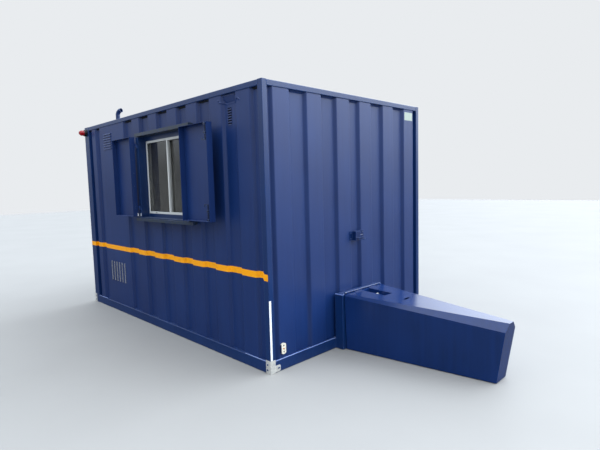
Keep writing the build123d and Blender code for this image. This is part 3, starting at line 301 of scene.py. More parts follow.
cream_acrylic, tree, shader, place = material("cream acrylic moulding", "#E6E2D2", 0.25, ior=1.49)
haze = node(tree, "TexNoise", {"Vector": place, "Scale": 60.0, "Detail": 4.0})
corner = node(tree, "AmbientOcclusion", {"Distance": 0.006})
hollow = node(tree, "MapRange", {"Value": corner.outputs["AO"], "From Min": 0.9, "From Max": 0.5})
aged = node(tree, "Mix", {"Factor": haze, 6: "#ECE8DA", 7: "#D6CFB8"}, **rgba)
colour = node(tree, "Mix", {"Factor": hollow, 6: aged, 7: "#7C6148"}, **rgba)
# Along both upright sides of the lens a dark band is painted shade
axes = node(tree, "SeparateXYZ", {0: place})
marker_low, marker_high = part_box("side_marker")
marker_y = (marker_low.y + marker_high.y) / 2
off_middle = node(tree, "Math", {0: axes.outputs["Y"], 1: marker_y}, operation="SUBTRACT")
aside = node(tree, "Math", {0: off_middle}, operation="ABSOLUTE")
rim = node(tree, "MapRange", {"Value": aside, "From Min": 0.023, "From Max": 0.0255})
edge_shaded_lens = node(tree, "Mix", {"Factor": rim, 6: colour, 7: "#2A3350"}, **rgba)
feed(shader, {"Base Color": edge_shaded_lens})
print("window and lamp finishes", powder_coat.name, glass.name, red_acrylic.name)

# %% [markdown]
# ## Boards inside
# The linings are hardboard with a brown wood print and an upright groove every 100 mm, and the floor
# is phenolic-faced plywood, whose brown film has a wire-mesh print to stop feet slipping. The real
# print is about 5 mm, too fine for this distance, so it is drawn 25 mm across.

# %% Boards
lining_board, tree, shader, place = material("grooved hardboard", "#5B5044", 0.5)
stretched = node(tree, "Mapping", {"Vector": place, "Scale": (30, 30, 1.5)})
grain = node(tree, "TexNoise", {"Vector": stretched, "Scale": 1.0, "Detail": 6.0})
wood = node(tree, "Mix", {"Factor": grain, 6: "#3E362E", 7: "#5E5447"}, **rgba)
# Grooves run up both the long walls, at each 100 mm of X, and the end walls, at each 100 mm of Y
axes = node(tree, "SeparateXYZ", {0: place})
spread = node(tree, "Math", {0: axes.outputs["X"], 1: axes.outputs["Y"]}, operation="ADD")
step = node(tree, "Math", {0: spread, 1: 0.05}, operation="PINGPONG")
groove = node(tree, "MapRange", {"Value": step, "From Min": 0.004, "From Max": 0.001})
colour = node(tree, "Mix", {"Factor": groove, 6: wood, 7: "#241E19"}, **rgba)
feed(shader, {"Base Color": colour})

phenolic_ply, tree, shader, place = material("phenolic faced plywood", "#3A2D22", 0.5)
mesh_print = node(
    tree, "TexChecker", {"Vector": place, "Scale": 80.0, "Color1": "#43352A", "Color2": "#33271E"}
)
worn = node(tree, "TexNoise", {"Vector": place, "Scale": 2.5, "Detail": 6.0})
colour = node(tree, "Mix", {"Factor": worn, 6: mesh_print, 7: "#5C5044"}, **rgba)
feed(shader, {"Base Color": colour})
print("boards", lining_board.name, "and", phenolic_ply.name)

# %% [markdown]
# ## Tape and rubber
# The amber and white bands are reflective vinyl tape. Under its clear skin lie cells about 4 mm across,
# which give the colour a fine honeycomb. The sealer is dark gun-grade mastic whose near black is painted
# shade, a black mesh of glass fibre backs the punched slots as painted shade, the side marker has a small
# reflector of amber acrylic, and the seals are black EPDM rubber.

# %% Tape, mastic, mesh and rubber
def reflective_tape(name, bright, cell, grime):
    """Vinyl tape with cells under its skin and patches of grime."""
    made, tree, shader, place = material(name, bright, 0.35)
    cells = node(tree, "TexVoronoi", {"Vector": place, "Scale": 220.0}, feature="DISTANCE_TO_EDGE")
    line = node(tree, "MapRange", {"Value": cells.outputs["Distance"], "From Max": 0.08})
    patches = node(tree, "TexNoise", {"Vector": place, "Scale": 14.0, "Detail": 6.0})
    stained = node(tree, "MapRange", {"Value": patches, "From Min": 0.55, "From Max": 0.75, "To Max": 0.35})
    colour = node(tree, "Mix", {"Factor": line, 6: cell, 7: bright}, **rgba)
    stained_colour = node(tree, "Mix", {"Factor": stained, 6: colour, 7: grime}, **rgba)
    feed(shader, {"Base Color": stained_colour, "Specular IOR Level": 0.25})
    return made


amber_vinyl = reflective_tape("amber reflective vinyl", "#FFA800", "#F89E00", "#C88410")
white_vinyl = reflective_tape("white reflective vinyl", "#EEF1F4", "#E2E6EA", "#B4B8BC")
label_vinyl = reflective_tape("blank vinyl label", "#A6B2A8", "#A3AFA5", "#A0ACA2")

# The mastic's near-black colour is painted shade under the rails
shade_sealer, tree, shader, place = material("dark mastic as painted shade", "#10151F", 0.7)
dragged = node(tree, "TexNoise", {"Vector": place, "Scale": 70.0, "Detail": 3.0})
colour = node(tree, "Mix", {"Factor": dragged, 6: "#0C1018", 7: "#161D2A"}, **rgba)
feed(shader, {"Base Color": colour})

# Near black and barely glossy, the mesh is painted shade inside the slots
shade_mesh_cloth, tree, shader, place = material("black insect mesh as painted shade", "#05070B", 0.95)
threads = node(
    tree, "TexChecker", {"Vector": place, "Scale": 700.0, "Color1": "#090B10", "Color2": "#020305"}
)
feed(shader, {"Base Color": threads, "Specular IOR Level": 0.05})

amber_acrylic, tree, shader, place = material("amber acrylic reflector", "#C9701A", 0.15, ior=1.49)
prisms = node(
    tree, "TexChecker", {"Vector": place, "Scale": 500.0, "Color1": "#C9701A", "Color2": "#B35F12"}
)
feed(shader, {"Base Color": prisms})

rubber, tree, shader, place = material("black EPDM rubber", "#141415", 0.6)
bloom = node(tree, "TexNoise", {"Vector": place, "Scale": 40.0, "Detail": 4.0})
colour = node(tree, "Mix", {"Factor": bloom, 6: "#101011", 7: "#26262A"}, **rgba)
feed(shader, {"Base Color": colour})
print("tapes", amber_vinyl.name, "and", white_vinyl.name)

# %% [markdown]
# ## Dress the CAD pieces
# Most of the cabin's pieces keep the CAD shape and only take a finish. One table says which.

# %% Finish of each CAD piece
finishes = {
    sheet_enamel: [
        "front_wall_left", "front_wall_right", "front_wall_under_window", "front_wall_over_window",
        "drawbar_end_wall", "far_end_wall", "back_wall_left", "back_wall_right",
        "back_wall_over_door", "shutter_left", "shutter_right", "door_leaf",
    ],
    cover_enamel: ["drawbar_hood"],
    frame_enamel: [
        "corner_posts_drawbar_end", "corner_posts_far_end", "top_side_rails", "top_end_rails",
        "bottom_side_rails", "bottom_end_rails", "door_frame", "drawbar_neck", "hood_hinge",
        "shutter_hinge_posts", "exhaust_pipe",
    ],
    shaded_catch_enamel: ["hood_catch"],
    fitting_enamel: ["shutter_right_bolts"],
    surround_enamel: ["window_surround"],
    roof_enamel: ["roof_sheet"],
    chassis_enamel: ["floor_cross_members", "drawbar_rails", "towing_eye"],
    galvanised: ["corner_plates", "hood_staple"],
    zinc: ["door_furniture"],
    powder_coat: ["window_frame"],
    glass: ["window_glass"],
    black_abs: ["lamp_base"],
    red_acrylic: ["lamp_lens"],
    cream_acrylic: ["side_marker"],
    lining_board: ["ceiling_panel", "front_lining", "back_lining", "end_linings"],
    phenolic_ply: ["floor_deck"],
}
for finish, names in finishes.items():
    for name in names:
        for holder in cad[name].material_slots:
            holder.material = finish
undressed = set(cad) - {name for names in finishes.values() for name in names}
print("dressed", len(cad) - len(undressed), "left", sorted(undressed))

# %% [markdown]
# ## Tools for the added pieces
# The pieces that the CAD model leaves out are thin and run along its edges: tape, weld beads, seals
# and small fixings. Most of them are a skin drawn over a row of rings of points. A section swept
# along a line is such a row, and so is a profile turned on an axis, as a lathe does. A plate is made
# from its corners. A last function joins such shapes to one object, which rides on a body.

# %% Helpers for meshes
def piece(name, shapes, finish, body="cabin", smooth=False):
    """One object from a list of shapes, each verts and faces; it moves with one body of the cabin."""
    verts, faces = [], []
    for more_verts, more_faces in shapes:
        base = len(verts)
        verts += [tuple(v) for v in more_verts]
        faces += [tuple(i + base for i in face) for face in more_faces]
    mesh = bpy.data.meshes.new(name)
    mesh.from_pydata(verts, [], faces)
    mesh.validate()
    mesh.materials.append(finish)
    tidy = bmesh.new()
    tidy.from_mesh(mesh)
    bmesh.ops.recalc_face_normals(tidy, faces=tidy.faces)
    tidy.to_mesh(mesh)
    tidy.free()
    for face in mesh.polygons:
        face.use_smooth = smooth
    made = bpy.data.objects.new(name, mesh)
    scene.collection.objects.link(made)
    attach(made, body)


def skinned(rings):
    """Verts and faces of a skin over rings of points, closed at both ends."""
    count = len(rings[0])
    verts = [point for ring in rings for point in ring]
    faces = []
    for base in range(0, len(verts) - count, count):
        for corner in range(count):
            a, b = base + corner, base + (corner + 1) % count
            faces.append((a, b, b + count, a + count))
    return verts, faces + [tuple(range(count)), tuple(range(len(verts) - count, len(verts)))]


def swept(points, section, normal):
    """A section swept along points; its x lies across, its y along the normal."""
    points = [Vector(p) for p in points]
    rings = []
    for index, point in enumerate(points):
        before = point - points[index - 1] if index else points[1] - point
        after = points[index + 1] - point if index + 1 < len(points) else before
        along = (before.normalized() + after.normalized()).normalized()
        side = along.cross(Vector(normal)).normalized()
        lift = side.cross(along)
        rings.append([point + side * x + lift * y for x, y in section])
    return skinned(rings)


def turned(centre, axis, profile, steps=24):
    """A profile of (radius, height) turned about an axis through a centre."""
    axis = Vector(axis).normalized()
    across = axis.orthogonal().normalized()
    third = axis.cross(across)
    turns = [2 * pi * step / steps for step in range(steps)]
    ring = [across * cos(angle) + third * sin(angle) for angle in turns]
    rings = [[Vector(centre) + axis * height + way * radius for way in ring] for radius, height in profile]
    return skinned(rings)


def dome(centre, axis, radius, height, steps=12):
    """A rivet head or button turned on its axis."""
    profile = [(radius, -0.0005), (radius, height * 0.25), (radius * 0.8, height * 0.7)]
    return turned(centre, axis, profile + [(radius * 0.35, height)], steps)


def slab(low, high, bevel=0.0):
    """A plate between two corners; a bevel eases its edges on every side."""
    block = bmesh.new()
    sides = zip(low, high)
    corners = [block.verts.new(corner) for corner in product(*sides)]
    for face in ((0, 1, 3, 2), (4, 6, 7, 5), (0, 4, 5, 1), (2, 3, 7, 6), (0, 2, 6, 4), (1, 5, 7, 3)):
        block.faces.new([corners[i] for i in face])
    if bevel:
        bmesh.ops.bevel(block, geom=list(block.edges), offset=bevel, segments=2, affect="EDGES")
    block.verts.index_update()
    result = [v.co.copy() for v in block.verts], [tuple(v.index for v in f.verts) for f in block.faces]
    block.free()
    return result


print("a dome of 12 steps has", len(dome((0, 0, 0), (0, 0, 1), 0.005, 0.003)[0]), "verts")

# %% [markdown]
# ## Reflective tape
# An amber band runs the whole length of the window wall, pressed into every fold. It could be painted
# on with the wall's own material, but real tape has an edge and a thickness, so a strip 0.6 mm thick
# follows the folds. Their places are the CAD wall's own: crests of 180 mm, one wide flat panel and a
# narrow crest beside the far post. The last short piece, on the near post, was stuck on a little low.
# A narrow white tape marks the foot of the near post. The label at the end wall's top corner is left
# blank.

# %% Bands and label
post_low, post_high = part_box("corner_posts_drawbar_end")
half_length, half_width, near_inner = post_high.x, post_high.y, post_low.x
far_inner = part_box("corner_posts_far_end")[1].x
post_width = 0.052
side_inner = half_width - post_width
crest, valley = -half_width + 0.006, -half_width + 0.034
crests = [(-1.606, -1.491), (-1.355, -0.654), (-0.438, -0.258), (-0.047, 0.133)]
crests += [(0.355, 0.535), (0.716, 0.896), (1.102, 1.282), (1.488, 1.668)]
fold_run, fold_easing = 0.024, 0.004
tape_width, tape_level = 0.054, 0.802
strip_y, strip_levels = -half_width + 0.0135, (0.111, 0.28, 0.45, 0.604)
label_middle, label_level = 0.936, 2.2225


def eased(points):
    """Each corner of a line cut by a short flat, as the folds of the wall are."""
    line = [Vector(points[0])]
    for before, corner, after in zip(points, points[1:], points[2:]):
        for other in (before, after):
            line.append(Vector(corner) + (Vector(other) - Vector(corner)).normalized() * fold_easing)
    return line + [Vector(points[-1])]


def band(height, ends):
    """The wall's outer line at one height."""
    points = [(far_inner, valley, height)]
    for low, high in crests:
        points += [(low - fold_run, valley, height), (low, crest, height)]
        points += [(high, crest, height), (high + fold_run, valley, height)]
    points = eased(points + [(near_inner, valley, height)])
    start = [Vector((ends[0], -half_width, height)), Vector((far_inner, -half_width, height))]
    finish = [Vector((near_inner, -half_width, height)), Vector((ends[1], -half_width, height))]
    return start + points + finish


def strip(points, width, thick, normal):
    """A thin strip along a line, that just bites into what it lies on."""
    half, bite = width / 2, -0.0002
    return swept(points, [(-half, bite), (half, bite), (half, thick), (-half, thick)], normal)


line = band(tape_level, (-half_length, half_length - 0.045))
amber = strip(line, tape_width, 0.0006, (0, -1, 0))
piece("amber_band", [amber], amber_vinyl)
line = [(half_length - 0.047, -half_width, 0.792), (half_length - 0.001, -half_width, 0.791)]
amber = strip(line, tape_width, 0.0009, (0, -1, 0))
piece("amber_band_end", [amber], amber_vinyl)
line = [(half_length, strip_y, level) for level in strip_levels]
piece("white_strip", [strip(line, 0.021, 0.0008, (1, 0, 0))], white_vinyl)
line = [(half_length - 0.006, label_middle + along, label_level) for along in (-0.076, 0, 0.076)]
piece("blank_label", [strip(line, 0.084, 0.0005, (1, 0, 0))], label_vinyl)
print("tape width", tape_width, "length", round(2 * half_length, 3))

# %% [markdown]
# ## Weld beads
# Posts, rails and neck are joined by hand with a wire-feed welder, which leaves a low rounded bead with a
# ripple every few millimetres. A bump would do from far off, but along an edge the bead is seen from the
# side, so it is a real ridge whose height goes up and down. The ripple is drawn 7 mm long. Along the level
# seams, the neck's edges and its hinge, pale glossy beads are painted highlights: lines of light drawn as
# thick pale ridges.

# %% Weld beads and painted highlight runs
half_ripple = 0.0035


def bead(start, end, normal, radius):
    """A rippled half-round ridge along a straight seam, tapered off at both ends."""
    start, end = Vector(start), Vector(end)
    count = max(int((end - start).length / half_ripple), 4)
    side = (end - start).normalized().cross(Vector(normal)).normalized()
    lift = side.cross((end - start).normalized())
    turns = [pi * corner / 5 for corner in range(6)]
    rings = []
    for index in range(count + 1):
        size = radius * (1.0 if index % 2 else 0.8) * (0.4 if index in (0, count) else 1.0)
        point = start.lerp(end, index / count) + side * 0.0004 * sin(index * 1.7)
        rings.append([point + (side * cos(angle) * 1.2 + lift * sin(angle)) * size for angle in turns])
    return skinned(rings)


rail_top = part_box("top_side_rails")[1].z
rail_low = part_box("top_side_rails")[0].z
sill_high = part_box("bottom_side_rails")[1].z
spans = ((rail_low + 0.006, rail_top - 0.006), (0.006, sill_high - 0.006))
seams = []
for side in (-1, 1):
    feet = [(x, side * half_width, (0, side, 0)) for x in (near_inner, far_inner)]
    feet += [(end * half_length, side * side_inner, (end, 0, 0)) for end in (1, -1)]
    for x, y, out in feet:
        seams += [bead((x, y, low), (x, y, high), out, 0.0025) for low, high in spans]
piece("frame_welds", seams, frame_enamel, smooth=True)

neck_low, neck_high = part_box("drawbar_neck")
seams = [
    bead((neck_low.x, y, neck_low.z), (neck_low.x, y, sill_high), (1, side, 0), 0.004)
    for y, side in ((neck_low.y, -1), (neck_high.y, 1))
]
piece("neck_welds", seams, frame_enamel, smooth=True)

# Pale runs, as painted highlights, lie on the bottom rails, on the neck's edges and along its hinge
level = (0, 0, 1)
run_x, run_y, run_length = half_length - 0.004, -half_width + 0.004, 0.28
edge_x, edge_z, hinge_z = neck_high.x - 0.004, neck_high.z - 0.001, neck_high.z + 0.0005
hinge_low, hinge_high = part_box("hood_hinge")
bright_runs = [
    bead((run_x, start, sill_high), (run_x, stop, sill_high), level, 0.0048)
    for start, stop in ((-side_inner, neck_low.y), (side_inner, neck_high.y))
]
bright_runs += [
    bead((x, run_y, sill_high), (x + run_length, run_y, sill_high), level, 0.004)
    for x in (near_inner - run_length, far_inner)
]
bright_runs += [
    bead((edge_x, neck_low.y, edge_z), (edge_x, neck_high.y, edge_z), level, 0.004),
    bead((half_length, neck_low.y, edge_z), (edge_x, neck_low.y, edge_z), (0, -1, 1), 0.004),
    bead((hinge_low.x, hinge_low.y, hinge_z), (hinge_low.x, hinge_high.y, hinge_z), level, 0.0045),
]
piece("highlight_runs", bright_runs, highlight_enamel, smooth=True)

# %% [markdown]
# ## Window fittings
# A black rubber gasket holds each pane, and the bottom of the frame has a drain cap near each side.
# The gasket is a strip swept round the pane, because its rounded lip catches a thin line of light
# that a painted stripe would not.

# %% Gaskets and drain caps
frame_low, frame_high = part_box("window_frame")
glass_low, glass_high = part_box("window_glass")


def loop(low_x, high_x, low_z, high_z, y, size):
    """Four swept strips with rounded tops, round an opening in the window's plane."""
    section = [(-size, -0.001), (size, -0.001), (size * 0.7, size * 0.8), (0, size)]
    section.append((-size * 0.7, size * 0.8))
    corners = [(low_x, y, low_z), (high_x, y, low_z), (high_x, y, high_z), (low_x, y, high_z)]
    return [swept([a, b], section, (0, -1, 0)) for a, b in zip(corners, corners[1:] + corners[:1])]


middle = (frame_low.x + frame_high.x) / 2
front_face = frame_low.y
pane_low, pane_high = glass_low.z + 0.002, glass_high.z - 0.002
strips = loop(glass_low.x + 0.002, middle - 0.010, pane_low, pane_high, front_face + 0.007, 0.003)
strips += loop(middle + 0.022, glass_high.x - 0.002, pane_low, pane_high, front_face + 0.034, 0.003)
piece("pane_gaskets", strips, rubber, smooth=True)
cap_half, cap_low, cap_high = 0.016, frame_low.z + 0.009, frame_low.z + 0.015
caps = [
    slab((x - cap_half, front_face - 0.0022, cap_low), (x + cap_half, front_face, cap_high), 0.0008)
    for x in (frame_low.x + 0.16, frame_high.x - 0.16)
]
piece("drain_caps", caps, rubber)
print("window", [round(v, 3) for v in frame_high - frame_low])

# %% [markdown]
# ## Rivets of the shutters
# Rivets hold the hinge straps to the folded lip of each leaf: three close together at each strap and
# three more spaced between. They are turned domes, because a flat disc would catch no light.

# %% Rivets
left_low, left_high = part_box("shutter_left")
right_low, right_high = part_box("shutter_right")
rivet_levels = (0.085, 0.11, 0.135, 0.32, 0.46, 0.60, 0.715, 0.74, 0.765)
lip_inset, lip_depth = 0.037, 0.03
for name, body, edge, direction, low in (
    ("shutter_left_rivets", "shutter_left_leaf", left_high.x, 1, left_low),
    ("shutter_right_rivets", "shutter_right_leaf", right_low.x, -1, right_low),
):
    x, y = edge - direction * lip_inset, low.y + lip_depth
    heads = [dome((x, y, low.z + up), (direction, 0, 0), 0.0045, 0.003) for up in rivet_levels]
    piece(name, heads, frame_enamel, body, smooth=True)
print("leaves", [round(v, 3) for v in left_high - left_low], [round(v, 3) for v in right_high - right_low])

# %% [markdown]
# ## Vents and the tops of the valleys
# Each punched slot near the corner has a sloped lip under it that throws rain off, and black insect mesh
# closes the row from behind as painted shade. In the mouths of the upright louvres, low on the wide panel,
# short white bars are painted highlights. Under the top rails each valley of the sheet is stopped with
# mastic against driven rain. It is gunned in by hand, so it is a real wedge and not a painted line: near
# black as painted shade along the long sides, painted over on the ends.

# %% Slots, guards and mastic
slot_x, slot_half, slot_pitch, top_slot = 1.366, 0.027, 0.021, 2.177
slot_levels = [top_slot - slot_pitch * index for index in range(7)]
lip_rows = ((-0.0008, -0.0045), (0.0012, -0.0045), (0.0052, -0.0125), (-0.0008, -0.0138))
lips = []
for z in slot_levels:
    ends = (slot_x - slot_half, slot_x + slot_half)
    lips.append(skinned([[(x, valley - lift, z + drop) for lift, drop in lip_rows] for x in ends]))
piece("slot_lips", lips, sheet_enamel)
# A near-black mesh behind the slots is painted shade
cloth = slab(
    (slot_x - 0.034, valley + 0.0019, slot_levels[-1] - 0.02),
    (slot_x + 0.034, valley + 0.0031, slot_levels[0] + 0.02),
)
piece("insect_mesh_shade", [cloth], shade_mesh_cloth)

# White bars in the louvres' mouths are painted highlights for the light on the louvres' lips
louvre_x, louvre_pitch, rung_low, rung_pitch = crests[1][0] + 0.156, 0.074, 0.3825, 0.0153
bright_bars = []
for x in (louvre_x + place * louvre_pitch for place in range(6)):
    for z in (rung_low + rung * rung_pitch for rung in range(16)):
        bright_bars.append(slab((x - 0.0012, crest - 0.0098, z), (x + 0.0022, crest - 0.0004, z + 0.0098)))
piece("louvre_highlight_bars", bright_bars, powder_coat)

wall_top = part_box("top_side_rails")[0].z
mastic_depth = 0.0345
mastic_rows = ((0.0, 0.0), (0.014, 0.0), (0.004, -0.014), (0.0, -0.016))


def even_crests(places):
    """Edges of crests 180 mm wide at places on both sides of the middle."""
    return [(side * place - 0.09, side * place + 0.09) for place in places for side in (-1, 1)]


def valleys(pairs, start, finish):
    """The flat floors between crests given as pairs of edges."""
    edges = [start] + [edge + sign * fold_run for pair in sorted(pairs) for edge, sign in zip(pair, (-1, 1))]
    edges.append(finish)
    return [(a + 0.002, b - 0.002) for a, b in zip(edges[::2], edges[1::2]) if b - a > 0.02]


def wedge(low, high, outward, face):
    """Mastic under a rail along one valley: its outer face slopes back as it goes down."""
    out = Vector(outward)
    along = Vector((0, 0, 1)).cross(out).normalized()
    rows = [out * (face + lift) + Vector((0, 0, wall_top - 0.0005 + drop)) for lift, drop in mastic_rows]
    return skinned([[along * end + row for row in rows] for end in (low, high)])


end_crests = even_crests((0.1665, 0.5505, 0.9345))
back_crests = even_crests((0.193, 0.579, 0.965, 1.351))
side_walls = (
    (crests, far_inner, near_inner, (0, -1, 0), half_width),
    (back_crests, -near_inner, -far_inner, (0, 1, 0), half_width),
)
end_walls = [(end_crests, -side_inner, side_inner, (end, 0, 0), half_length) for end in (1, -1)]
# Along the long sides the wedges are near black, as painted shade under the rail
for name, walls, cover in (
    ("valley_shade_mastic", side_walls, shade_sealer),
    ("painted_mastic", end_walls, sheet_enamel),
):
    fills = [
        wedge(low, high, outward, reach - mastic_depth)
        for pairs, start, finish, outward, reach in walls
        for low, high in valleys(pairs, start, finish)
    ]
    piece(name, fills, cover)
print("slots", len(lips), "painted_highlights", len(bright_bars))

# %% [markdown]
# ## A knocked valley
# One valley has taken a knock, which pushed the top of its floor half way out to the crests and left
# a few short creases. A bump map would leave the valley's outline straight, so the dent is a patch of
# its own: a fine grid of points over the CAD sheet. Its height is the fold's or the push's, whichever
# is larger, with the creases on top.

# %% The knocked valley
ridge_width, hollow_place, hollow_width = 0.006, 0.012, 0.007


def fold_mark(x, z, start, end, height):
    """Rise of the sheet at a short crease: a sharp ridge, with a hollow along its upper side."""
    start, run = Vector(start), Vector(end) - Vector(start)
    share = (Vector((x, z)) - start).dot(run) / run.length_squared
    offset = Vector((x, z)) - (start + run * min(max(share, 0.0), 1.0))
    away = offset.length
    ridge = exp(-((away / ridge_width) ** 1.5))
    hollow = exp(-(((away - hollow_place) / hollow_width) ** 2)) if offset.y > 0 else 0.0
    return height * (ridge - 0.8 * hollow)


creases = [
    ((1.246, 2.254), (1.268, 2.234), 0.0050),
    ((1.268, 2.234), (1.300, 2.225), 0.0070),
    ((1.300, 2.225), (1.330, 2.213), 0.0018),
    ((1.330, 2.211), (1.462, 2.213), 0.0012),
    ((1.478, 2.262), (1.500, 2.240), 0.0085),
    ((1.500, 2.240), (1.486, 2.208), 0.0075),
    ((1.504, 2.246), (1.534, 2.228), 0.0060),
]
# The patch covers the valley and its folds; the push starts at one level and grows to 14 mm
low_x, high_x, low_z, high_z = 1.228, 1.556, wall_top - 0.098, wall_top - 0.0015
floor_low, floor_high, push_start, push_run, push_depth = 1.306, 1.464, 2.209, 0.070, 0.014
across_count, up_count, fold_depth = 130, 40, valley - crest
verts = []
for row in range(up_count + 1):
    z = low_z + (high_z - low_z) * row / up_count
    share = min(max((z - push_start) / push_run, 0.0), 1.0)
    for column in range(across_count + 1):
        x = low_x + (high_x - low_x) * column / across_count
        slope = max(0.0, min((floor_low - x) / fold_run, 1.0), min((x - floor_high) / fold_run, 1.0))
        rise = max(slope * fold_depth, push_depth * share)
        rise += sum(fold_mark(x, z, *crease) for crease in creases)
        verts.append((x, valley - min(max(rise, 0.0), fold_depth + 0.0055) - 0.0004, z))
starts = [row * (across_count + 1) + column for row in range(up_count) for column in range(across_count)]
faces = [(a, a + 1, a + across_count + 2, a + across_count + 1) for a in starts]
piece("knocked_valley", [(verts, faces)], sheet_enamel, smooth=True)
print("creases", len(creases), "highest", max(crease[2] for crease in creases))

# %% [markdown]
# ## Roof, lamps and plates
# Four hex screws with washers hold the pipe's flange down, and a ring of mastic seals the pipe. The
# side marker has two dark studs with a small amber reflector between them. Painted round-head bolts
# hold the corner plates, and a rubber gasket seals the lamp's lens to its base. Heads are turned, or
# six-sided, because a flat disc would show no edges to catch the light.

# %% Screws, mastic, marker, bolts and gasket
pipe_low, pipe_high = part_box("exhaust_pipe")
flange = Vector((pipe_low.x + 0.05, (pipe_low.y + pipe_high.y) / 2, pipe_low.z + 0.006))
washer = [(0.0085, -0.0005), (0.0085, 0.0015)]
hex_head = [(0.0055, 0.001), (0.0055, 0.006), (0.0045, 0.0066)]
screws = []
for foot in (flange + Vector((dx, dy, 0)) for dx in (-0.038, 0.038) for dy in (-0.038, 0.038)):
    screws += [turned(foot, (0, 0, 1), washer, 20), turned(foot, (0, 0, 1), hex_head, 6)]
piece("flange_screws", screws, zinc)
ring = [(0.0335, -0.0005), (0.0325, 0.004), (0.0295, 0.0075), (0.026, 0.009)]
piece("pipe_mastic", [turned(flange, (0, 0, 1), ring, 32)], rubber, smooth=True)

marker_z = (marker_low.z + marker_high.z) / 2
stud = [(0.006, -0.0006), (0.006, 0.0008), (0.0045, 0.0012)]
studs = [turned((marker_high.x, marker_y, marker_z + up), (1, 0, 0), stud, 14) for up in (-0.026, 0.026)]
piece("marker_studs", studs, chassis_enamel)
reflector = dome((marker_high.x, marker_y, marker_z), (1, 0, 0), 0.0075, 0.003)
piece("marker_reflector", [reflector], amber_acrylic, smooth=True)

plate_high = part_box("corner_plates")[1]
bolt = (0.0085, 0.004)
bolts = []
for side in (-1, 1):
    for end in (-1, 1):
        for x, z in ((1.794, 0.074), (1.792, 0.030)):
            bolts.append(dome((end * x, side * plate_high.y, z), (0, side, 0), *bolt))
    bolts.append(dome((plate_high.x, side * 1.049, 0.035), (1, 0, 0), *bolt))
piece("plate_bolts", bolts, frame_enamel, smooth=True)

base_low, base_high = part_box("lamp_base")
foot = ((base_low.x + base_high.x) / 2, base_low.y, (base_low.z + base_high.z) / 2)
rim = [(0.0385, -0.0005), (0.0385, 0.0035), (0.0365, 0.005), (0.0352, 0.005)]
piece("lamp_gasket", [turned(foot, (0, -1, 0), rim, 40)], rubber)
print("flange screws at", [round(v, 3) for v in flange])

# %% [markdown]
# ## Catch and hinge of the cover
# Four round-head bolts hold the catch's plate, and the hinge rod is headed at both ends so that it
# can't work out.

# %% Bolt heads and rod ends
catch_low, catch_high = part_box("hood_catch")
inset, lower_bolt = 0.018, 0.07
heads = [
    dome((half_length, y, catch_high.z - down), (1, 0, 0), 0.0075, 0.005)
    for y in (catch_low.y + inset, catch_high.y - inset)
    for down in (inset, lower_bolt)
]
piece("catch_bolts", heads, frame_enamel, smooth=True)
rod_x, rod_z = 1.928, 0.530
ends = [
    dome((rod_x, y, rod_z), (0, side, 0), 0.0075, 0.005)
    for y, side in ((hinge_low.y, -1), (hinge_high.y, 1))
]
piece("rod_ends", ends, zinc, smooth=True)
print("catch", [round(v, 3) for v in catch_high - catch_low])

# %% [markdown]
# ## Buffers, hole and bare rivet
# At the foot of the left leaf's hinge side are two small white vinyl buffers, one on the leaf and one on the
# jamb. The right leaf has one small drilled hole, drawn as a thin black rubber disc of painted shade, and
# one bare rivet. All are thin real pieces, so that they keep an edge close up.

# %% Buffers, hole and rivet
pin_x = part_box("shutter_hinge_posts")[0].x + 0.007
pin_y = left_high.y - 0.007
foot = left_low.z
lip_x = pin_x - 0.030
low_end, high_end = foot + 0.004, foot + 0.034
buffer = slab((lip_x - 0.0002, pin_y - 0.015, low_end), (lip_x + 0.001, pin_y - 0.006, high_end), 0.0003)
piece("buffer_on_leaf", [buffer], white_vinyl, "shutter_left_leaf")
jamb_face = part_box("window_surround")[0].y + 0.024
buffer = slab(
    (pin_x - 0.002, jamb_face - 0.0015, low_end), (pin_x + 0.007, jamb_face + 0.0002, high_end), 0.0003
)
piece("buffer_on_jamb", [buffer], white_vinyl)
leaf_floor = right_high.y - 0.003
# The hole is a black disc: painted shade where the hole is
hole = turned((1.093, leaf_floor, 1.645), (0, -1, 0), [(0.006, -0.0004), (0.0055, 0.0004)], 14)
piece("drilled_hole_shade", [hole], rubber, "shutter_right_leaf")
rivet = dome((right_low.x + 0.06, leaf_floor, 1.366), (0, -1, 0), 0.006, 0.003)
piece("bare_rivet", [rivet], zinc, "shutter_right_leaf", smooth=True)
print("leaf floor at", round(leaf_floor, 3))

# %% [markdown]
# ## Door
# The hidden door has what such doors have: a rubber seal in the gap at the leaf's sides and top, a
# rain strip over its head and a lock barrel and screws on the handle's plate.

# %% Door seal, rain strip and lock
leaf_low, leaf_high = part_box("door_leaf")
seal_y, gap = leaf_high.y - 0.006, 0.0021
seal = [(-0.0023, -0.004), (0.0023, -0.004), (0.0023, 0.001), (0, 0.003), (-0.0023, 0.001)]
left, right, top, foot = leaf_low.x - gap, leaf_high.x + gap, leaf_high.z + gap, leaf_low.z - gap + 0.006
lines = [((left, foot), (left, top)), ((right, foot), (right, top)), ((left, top), (right, top))]
strips = [swept([(x, seal_y, z) for x, z in line], seal, (0, 1, 0)) for line in lines]
piece("door_seal", strips, rubber, smooth=True)
door_low, door_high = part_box("door_frame")
drip = [(0, 0), (0.022, -0.007), (0.022, -0.012), (0.020, -0.012), (0.020, -0.0085), (0, -0.002)]
y, z = door_high.y - 0.0005, door_high.z - 0.008
rain_strip = skinned([[(x, y + out, z + up) for out, up in drip] for x in (door_low.x, door_high.x)])
piece("rain_strip", [rain_strip], frame_enamel)
plate_x, plate_y = -0.509, leaf_high.y + 0.006
plug = [(0.011, -0.001), (0.011, 0.004), (0.0095, 0.0048)]
